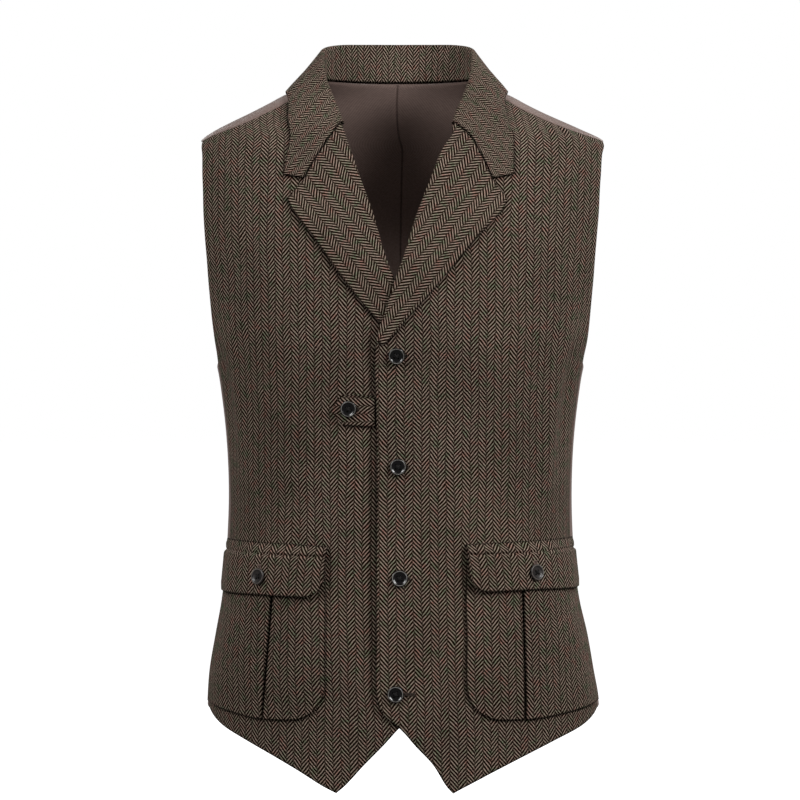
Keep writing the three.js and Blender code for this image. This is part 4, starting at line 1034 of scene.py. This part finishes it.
def tweed_material():
    """Herringbone: light stripes that climb and fall in upright columns, in mixed wool."""
    material, tree, shader = new_material("tweed")
    place, u, v, edge = cloth_place(tree)
    wander = calc(tree, "MULTIPLY", calc(tree, "SUBTRACT", noise(tree, place, 0.05), 0.5), 3.0)
    sway = calc(tree, "MULTIPLY_ADD", noise(tree, place, 0.022), 5.0, 1.3)
    across = calc(tree, "ADD", u, sway)
    zigzag = calc(tree, "PINGPONG", across, COLUMN_WIDTH)
    climb = calc(tree, "MULTIPLY_ADD", zigzag, STROKE_SLOPE, v)
    column = calc(tree, "FLOOR", calc(tree, "DIVIDE", across, COLUMN_WIDTH))
    break_step = calc(tree, "MULTIPLY", calc(tree, "PINGPONG", column, 1.0), COLUMN_BREAK)
    climb = calc(tree, "ADD", climb, break_step)
    phase = calc(tree, "MULTIPLY", calc(tree, "ADD", climb, wander), 2 * math.pi / STRIPE_PITCH)
    stripe = remap(tree, calc(tree, "SINE", phase), 0.05, 0.95, 0, 1)
    from_end = calc(tree, "MINIMUM", zigzag, calc(tree, "SUBTRACT", COLUMN_WIDTH, zigzag))
    stripe = calc(tree, "MULTIPLY", stripe, remap(tree, from_end, 0, STROKE_END, 0.35, 1))
    yarn = remap(tree, noise(tree, place, 0.55, 2.0), 0.3, 0.7, 0.62, 1.25, "LINEAR")
    blend = calc(tree, "MULTIPLY", stripe, yarn)
    heather = ramp(
        tree,
        noise(tree, place, 0.11, 2.0, 0.6),
        (0.32, colour(130, 137, 112)),
        (0.45, colour(163, 148, 131)),
        (0.56, colour(168, 147, 133)),
        (0.68, colour(174, 134, 120)),
    )
    ground = ramp(tree, noise(tree, place, 0.3, 2.0), (0.35, colour(22, 10, 5)), (0.65, colour(36, 25, 16)))
    wool = mix(tree, "MIX", blend, ground, heather)
    fleck = remap(tree, noise(tree, place, 0.75, 1.0), 0.64, 0.72, 0, 0.8)
    fleck = calc(tree, "MULTIPLY", fleck, stripe)
    wool = mix(tree, "MIX", fleck, wool, colour(196, 178, 160))
    broad = remap(tree, noise(tree, place, 0.012, 2.0), 0.3, 0.7, 0.88, 1.1, "LINEAR")
    # Painted contact shade: broad, the random tone, is darkened near each piece's edge and beside the edges
    # and buttons that lie over it, and shade carries both into the base colour
    broad = calc(tree, "MULTIPLY", broad, remap(tree, edge, 0.2, 1.9, 0.3, 1))
    shade = node(tree, "ShaderNodeCombineColor")
    put(tree, shade.inputs, [broad] * 3)
    fuzz = calc(tree, "MULTIPLY_ADD", noise(tree, place, 2.2, 3.0), 0.5, calc(tree, "MULTIPLY", stripe, 0.7))
    feed(
        tree,
        shader,
        Base_Color=mix(tree, "MULTIPLY", 1.0, wool, shade.outputs[0]),
        Roughness=remap(tree, stripe, 0, 1, 0.96, 0.84, "LINEAR"),
        Normal=bump(tree, fuzz, 0.55, 0.0005),
        Specular_IOR_Level=0.04,
        Sheen_Weight=0.015,
        Sheen_Roughness=0.45,
        Sheen_Tint=(0.7, 0.6, 0.54, 1),
    )
    return material


def satin_material():
    """Lining satin: a faint slant of the weave and soft uneven gloss."""
    material, tree, shader = new_material("satin")
    place, u, v, edge = cloth_place(tree)
    slant = calc(tree, "SINE", calc(tree, "MULTIPLY", calc(tree, "MULTIPLY_ADD", u, 0.45, v), 5.2))
    threads = calc(tree, "MULTIPLY_ADD", slant, 0.12, noise(tree, place, 0.5, 4.0, 0.6))
    tone = ramp(
        tree,
        threads,
        (0.3, colour(124, 104, 97)),
        (0.5, colour(138, 117, 109)),
        (0.72, colour(150, 129, 121)),
    )
    broad = ramp(tree, noise(tree, place, 0.014, 3.0), (0.3, (0.88, 0.88, 0.88, 1)), (0.7, (1, 1, 1, 1)))
    tone = mix(tree, "MULTIPLY", 1.0, tone, broad)
    # Painted contact shade: the satin darkens near each piece's edges, seams among them
    seam = ramp(tree, remap(tree, edge, 0.2, 1.6, 0, 1), (0, (0.5, 0.48, 0.47, 1)), (1, (1, 1, 1, 1)))
    feed(
        tree,
        shader,
        Base_Color=mix(tree, "MULTIPLY", 1.0, tone, seam),
        Roughness=remap(tree, noise(tree, place, 0.08, 2.0), 0.3, 0.7, 0.44, 0.58, "LINEAR"),
        Normal=bump(tree, threads, 0.25, 0.0003),
        Specular_IOR_Level=0.28,
        Sheen_Weight=0.04,
        Anisotropic=0.35,
    )
    return material


# The radius of the painted highlight round a button's rim
RIM_RADIUS = 6.6


def button_material(name, dark, light, rim, gloss, coat):
    """Polished or dull cast resin with a faint swirl and a painted highlight round the rim."""
    material, tree, shader = new_material(name)
    place = node(tree, "ShaderNodeTexCoord").outputs["Object"]
    swirl = noise(tree, place, 260.0, 4.0, 0.6)
    body = ramp(tree, swirl, (0.35, colour(*dark)), (0.7, colour(*light)))
    radius = cloth_place(tree)[1]
    from_rim = calc(tree, "ABSOLUTE", calc(tree, "SUBTRACT", radius, RIM_RADIUS))
    uneven = remap(tree, swirl, 0.3, 0.6, 0.5, 1)
    painted_rim_highlight = calc(tree, "MULTIPLY", remap(tree, from_rim, 0.1, 0.5, 1, 0), uneven)
    scratch = noise(tree, place, 900.0, 3.0, 0.7)
    feed(
        tree,
        shader,
        Base_Color=mix(tree, "MIX", painted_rim_highlight, body, colour(*rim)),
        Roughness=remap(tree, scratch, 0.3, 0.7, gloss, gloss + 0.12, "LINEAR"),
        Normal=bump(tree, scratch, 0.06, 0.0002),
        Coat_Weight=coat,
        Coat_Roughness=0.08,
    )
    return material


def thread_material(name, dark, light):
    material, tree, shader = new_material(name)
    wave = node(tree, "ShaderNodeTexWave", bands_direction="DIAGONAL")
    place = node(tree, "ShaderNodeTexCoord").outputs["Object"]
    feed(tree, wave, Vector=place, Scale=900.0, Distortion=2.0)
    ply = wave.outputs["Fac"]
    twist = ramp(tree, ply, (0.2, colour(*dark)), (0.8, colour(*light)))
    feed(tree, shader, Base_Color=twist, Normal=bump(tree, ply, 0.4, 0.0002), Roughness=0.8)
    return material


tweed = tweed_material()
satin = satin_material()
# Each button's third colour is the painted highlight round its rim
glossy = button_material("glossy_button", (3, 2, 3), (10, 8, 9), (136, 133, 128), 0.16, 0.35)
dull = button_material("dull_button", (30, 27, 27), (58, 52, 50), (118, 110, 104), 0.3, 0.15)
dark_thread = thread_material("dark_thread", (10, 8, 8), (28, 24, 23))
brown_thread = thread_material("brown_thread", (44, 34, 28), (92, 76, 66))
rose_thread = thread_material("rose_thread", (104, 84, 76), (158, 132, 122))


def finish_piece(piece, material, slot, *nodes):
    piece.data.materials.append(material)
    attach(piece, "root")
    if nodes:
        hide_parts(*nodes)
    return piece


def panel_wall(side, places):
    """A panel, whose outer face is the one that the layers lie on."""
    return cloth_wall(side, places, np.full(places.shape[:-1], -CLOTH), panel_cloth(places))


closing_line = body_point(LEFT, place_at(LEFT, CUTAWAY + CLOSING_EDGE[1:]))
closing_discs = body_point(LEFT, place_at(LEFT, FRONT_BUTTONS))
pieces = {}
for side in SIDES:
    name = side["name"]
    # Painted shadow: each front is darkened beside its lapel and collar edges, the under front beside the
    # closing edge over it, and the top front round its buttons
    lapel_line = body_point(side, spread_rows(side, LAPEL_EDGE, ROLL_ROWS))
    collar_line = body_point(side, COLLAR_STATIONS[:SHOULDER_STATION, 3:])
    lines = [(lapel_line, LAPEL_SHADE[name]), (collar_line, COLLAR_SHADE[name])]
    discs = []
    if side["on_top"]:
        discs = closing_discs
    else:
        lines.append((closing_line, CLOSING_SHADE))
    front = shaded_under(panel_wall(side, front_places(side)), lines, discs)
    pieces[f"front_{name}"] = (front, tweed, "tweed")
    pieces[f"back_{name}"] = (panel_wall(side, back_places(side)), satin, "satin")
    pieces[f"lapel_{name}"] = (lapel_mesh(side), tweed, "tweed")
    pieces[f"pocket_{name}"] = (pocket_mesh(side), tweed, "tweed")
    pieces[f"flap_{name}"] = (flap_mesh(side), tweed, "tweed")
pieces["collar"] = (collar_mesh(), tweed, "tweed")
pieces["tab"] = (tab_mesh(), tweed, "tweed")

for name, (mesh, material, slot) in pieces.items():
    finish_piece(new_piece(f"{name}_cloth", *mesh), material, slot, name)

# Buttons

# The disc's section from the middle of its underside round to the middle of its dish: radius, height
BUTTON_PROFILE = [
    (0, 0), (4.7, 0), (6.2, 0.7), (7.2, 1.35), (7.5, 1.7), (7.6, 2.1), (7.52, 2.5), (7.3, 2.8), (7, 2.96),
    (6.65, 3.0), (6.3, 2.93), (5.95, 2.76), (5.6, 2.52), (5.2, 2.28), (4.7, 2.08), (4.1, 1.95),
    (3.4, 1.88), (0, 1.86),
]
SHARP_ANGLE = 32
BUTTON_TURNS = 48
BUTTON_SEAT = 0.4
BUTTON_SPAN = 3
BUTTON_RADIUS = 7.6
HOLE_SPREAD = 1.7
HOLE_TURNS = 16
HOLE_PROFILE = [(0, -1), (0.95, -1), (0.95, 4), (0, 4)]
THREAD_RADIUS = 0.3
THREAD_STEPS = 9
THREAD_FOOT = 1.6
THREAD_RISE = 1.15
THREAD_OVER = 0.25
STRAND_SPACE = 0.28


def lathe(profile, turns):
    """Points and faces of a closed round body."""
    points = [(0, 0, profile[0][1])]
    for radius, height in profile[1:-1]:
        for k in range(turns):
            angle = 2 * math.pi * k / turns
            points.append((radius * math.cos(angle), radius * math.sin(angle), height))
    points.append((0, 0, profile[-1][1]))
    last = len(points) - 1
    faces = []
    for k in range(turns):
        after = (k + 1) % turns
        faces.append((0, 1 + after, 1 + k))
        faces.append((last, last - turns + k, last - turns + after))
        for low in range(1, last - turns, turns):
            faces.append((low + k, low + after, low + turns + after, low + turns + k))
    return np.array(points), faces


def button_mesh():
    """The disc with its four holes cut through, as points and faces in millimetres."""
    disc = new_piece("disc", *lathe(BUTTON_PROFILE, BUTTON_TURNS))
    shaft, shaft_faces = lathe(HOLE_PROFILE, HOLE_TURNS)
    corners = [(x, y, 0) for x in (-HOLE_SPREAD, HOLE_SPREAD) for y in (-HOLE_SPREAD, HOLE_SPREAD)]
    points, faces, _ = joined([(shaft + corner, shaft_faces, shaft) for corner in corners])
    cutter = new_piece("cutter", points, faces)
    cut = disc.modifiers.new("holes", "BOOLEAN")
    cut.operation = "DIFFERENCE"
    cut.solver = "EXACT"
    cut.object = cutter
    shape = disc.evaluated_get(bpy.context.evaluated_depsgraph_get()).to_mesh()
    points = np.array([vertex.co for vertex in shape.vertices]) / MM
    faces = [list(polygon.vertices) for polygon in shape.polygons]
    for extra in (disc, cutter):
        bpy.data.objects.remove(extra)
    return points, faces


# A direction that no tube runs along
ASLANT = (0.31, 0.42, 0.85)


def tube(path, radius, sides=6):
    """Points and faces of a closed round tube along a path."""
    path = np.asarray(path, float)
    ahead = unit(np.gradient(path, axis=0))
    across = unit(np.cross(ahead, ASLANT))
    up = np.cross(across, ahead)
    points, faces = [], []
    for k in range(len(path)):
        for s in range(sides):
            angle = 2 * math.pi * s / sides
            points.append(path[k] + radius * (math.cos(angle) * across[k] + math.sin(angle) * up[k]))
    for k in range(len(path) - 1):
        for s in range(sides):
            after = (s + 1) % sides
            low, high = k * sides, (k + 1) * sides
            faces.append((low + s, high + s, high + after, low + after))
    faces.append(tuple(range(sides)))
    faces.append(tuple(range(len(points) - 1, len(points) - 1 - sides, -1)))
    return np.array(points), faces, np.zeros((len(points), 2))


def button_frame(side, row, rise_at):
    """Where a button sits: its middle and the directions across, up and out."""
    place = place_at(side, row)

    def on(angle, height):
        near = place + [angle, height]
        return layer_point(side, near, rise_at(near))

    around = on(BUTTON_SPAN, 0) - on(-BUTTON_SPAN, 0)
    up = on(0, BUTTON_RADIUS) - on(0, -BUTTON_RADIUS)
    out = unit(np.cross(around, up) * side["sign"])
    across = unit(np.cross([0, 0, 1], out))
    return on(0, 0) + out * BUTTON_SEAT, across, np.cross(out, across), out


def placed(points, seat, turn):
    middle, across, up, out = seat
    lean = math.radians(turn)
    x = math.cos(lean) * points[:, 0] - math.sin(lean) * points[:, 1]
    y = math.sin(lean) * points[:, 0] + math.cos(lean) * points[:, 1]
    return middle + x[:, None] * across + y[:, None] * up + points[:, 2:3] * out


disc_points, disc_faces = button_mesh()
polar = np.stack([np.linalg.norm(disc_points[:, :2], axis=1), disc_points[:, 2]], -1)
strands = []
for up in (-1, 1):
    share = np.linspace(0, 1, THREAD_STEPS)
    across = (2 * share - 1) * HOLE_SPREAD
    rise = THREAD_FOOT + THREAD_RISE * np.sin(math.pi * share) ** 0.6 + THREAD_OVER * (up > 0)
    path = np.stack([across, -up * across, rise], -1)
    for shift in (-STRAND_SPACE, STRAND_SPACE):
        strands.append(tube(path + [shift, shift * up, 0], THREAD_RADIUS))
thread_points, thread_faces, _ = joined(strands)


def even_rise(height):
    return lambda places: np.full(places.shape[:-1], height)


def flap_top(side):
    return lambda places: flap_rise(side, places) + CLOTH


# Where each buttonhole starts and ends, in millimetres beside or over the button's middle
FRONT_HOLE = (-1, 9)
LAST_HOLE = (-1, 17)
TAB_HOLE = (-9, 1)
FLAP_HOLE = (-1, 10.5)

FRONT_HOLES = [FRONT_HOLE, FRONT_HOLE, FRONT_HOLE, LAST_HOLE]
# How far the discs are turned, in degrees
FRONT_TURNS = (-10, -2, 6, 14)
TAB_TURN = 20
FLAP_TURN = 5

# Name, side, row, what it lies on, turn, buttonhole
buttons = []
for k, (row, turn, hole) in enumerate(zip(FRONT_BUTTONS, FRONT_TURNS, FRONT_HOLES)):
    buttons.append((f"front_{k + 1}", LEFT, row, even_rise(0), turn, hole))
buttons.append(("tab", RIGHT, TAB_BUTTON, even_rise(LAYER_STEP), TAB_TURN, TAB_HOLE))
for side in SIDES:
    row = side["flap_button"]
    buttons.append((f"flap_{side['name']}", side, row, flap_top(side), FLAP_TURN, FLAP_HOLE))
for name, side, row, rise_at, turn, hole in buttons:
    seat = button_frame(side, row, rise_at)
    material, slot = (dull, "dull_button") if hole is FLAP_HOLE else (glossy, "glossy_button")
    disc = new_piece(f"button_{name}_disc", placed(disc_points, seat, turn), disc_faces, polar)
    disc.data.set_sharp_from_angle(angle=math.radians(SHARP_ANGLE))
    finish_piece(disc, material, slot, f"button_{name}")
    thread = new_piece(f"button_{name}_thread", placed(thread_points, seat, turn), thread_faces)
    finish_piece(thread, dark_thread, slot)

# Buttonholes: a slit with stitches over both of its edges and a bar at each end

STITCH_SPACE = 0.75
STITCH_RADIUS = 0.27
# A stitch's points: how far beside the slit, and how far over the cloth
STITCH_OFFSETS = np.array([0.15, 0.5, 0.9, 1.3, 1.55])
STITCH_LIFTS = np.array([0.0, 0.42, 0.5, 0.35, 0.0])
BAR_BEYOND = 0.4
BAR_RADIUS = 0.34
BAR_OFFSETS = np.linspace(-1.5, 1.5, 7)
BAR_LIFTS = 0.35 + 0.2 * np.cos(BAR_OFFSETS)


def buttonhole(name, side, row, rise_at, hole):
    """A worked buttonhole, upright on a flap and level elsewhere."""
    start, end = hole
    upright = hole is FLAP_HOLE

    def on(position, offsets, lift):
        along_hole = np.full(len(offsets), float(position))
        level = np.zeros(len(offsets))
        shifts = [along_hole, offsets, level] if upright else [offsets, along_hole, level]
        places = place_at(side, np.stack(shifts, -1) + row)
        return layer_point(side, places, rise_at(places) + lift)

    parts = []
    for position in np.arange(start, end + 0.01, STITCH_SPACE):
        for way in (-1, 1):
            parts.append(tube(on(position, way * STITCH_OFFSETS, STITCH_LIFTS), STITCH_RADIUS, 5))
    for position in (start - BAR_BEYOND, end + BAR_BEYOND):
        parts.append(tube(on(position, BAR_OFFSETS, BAR_LIFTS), BAR_RADIUS))
    points, faces, _ = joined(parts)
    finish_piece(new_piece(name, points, faces), rose_thread if upright else brown_thread, "tweed")


for name, side, row, rise_at, _, hole in buttons:
    buttonhole(f"buttonhole_{name}", side, row, rise_at, hole)

# Camera, floor and light

camera_data = bpy.data.cameras.new("camera")
camera_data.sensor_width = 36
camera_data.lens = 156.3
camera = in_scene("camera", camera_data)
camera.location = (0, -3.3, -0.266)
camera.rotation_euler = (math.radians(90), 0, 0)
bpy.context.scene.camera = camera

# The floor's half width and height in millimetres
FLOOR_HALF = 40000
FLOOR_HEIGHT = -800
corners = np.array([(-1, -1, 0), (1, -1, 0), (1, 1, 0), (-1, 1, 0)]) * FLOOR_HALF
floor = new_piece("floor", corners + [0, 0, FLOOR_HEIGHT], [(0, 1, 2, 3)])
floor_material, floor_tree, floor_shader = new_material("floor")
feed(floor_tree, floor_shader, Base_Color=(0.6, 0.6, 0.6, 1), Roughness=0.9)
feed(floor_tree, floor_shader, Emission_Color=(1, 1, 1, 1), Emission_Strength=0.96)
floor.data.materials.append(floor_material)
floor.visible_diffuse = False
floor.visible_glossy = False

AMBIENT = 0.12
world = bpy.data.worlds.new("studio")
world.use_nodes = True
seen = node(world.node_tree, "ShaderNodeLightPath").outputs["Is Camera Ray"]
strength = remap(world.node_tree, seen, 0, 1, AMBIENT, 1.0, "LINEAR")
feed(world.node_tree, world.node_tree.nodes["Background"], Color=(1, 1, 1, 1), Strength=strength)
bpy.context.scene.world = world
bpy.context.scene.view_settings.view_transform = "Standard"

# Soft boxes: name, place, width, height, power
AIM = Vector((0, 0, -0.3))
for name, location, width, height, power in [
    ("key_right", (1.65, -1.4, 1.0), 0.6, 1.3, 44),
    ("key_left", (-1.65, -1.4, 1.0), 0.6, 1.3, 30),
    ("back_right", (1.5, 1.9, 0.9), 0.9, 1.5, 28),
    ("back_left", (-1.3, 2.2, 0.7), 0.9, 1.5, 19),
]:
    light_data = bpy.data.lights.new(name, "AREA")
    light_data.shape = "RECTANGLE"
    light_data.size = width
    light_data.size_y = height
    light_data.energy = power
    light = in_scene(name, light_data)
    light.location = location
    light.rotation_euler = (AIM - Vector(location)).to_track_quat("-Z", "Y").to_euler()
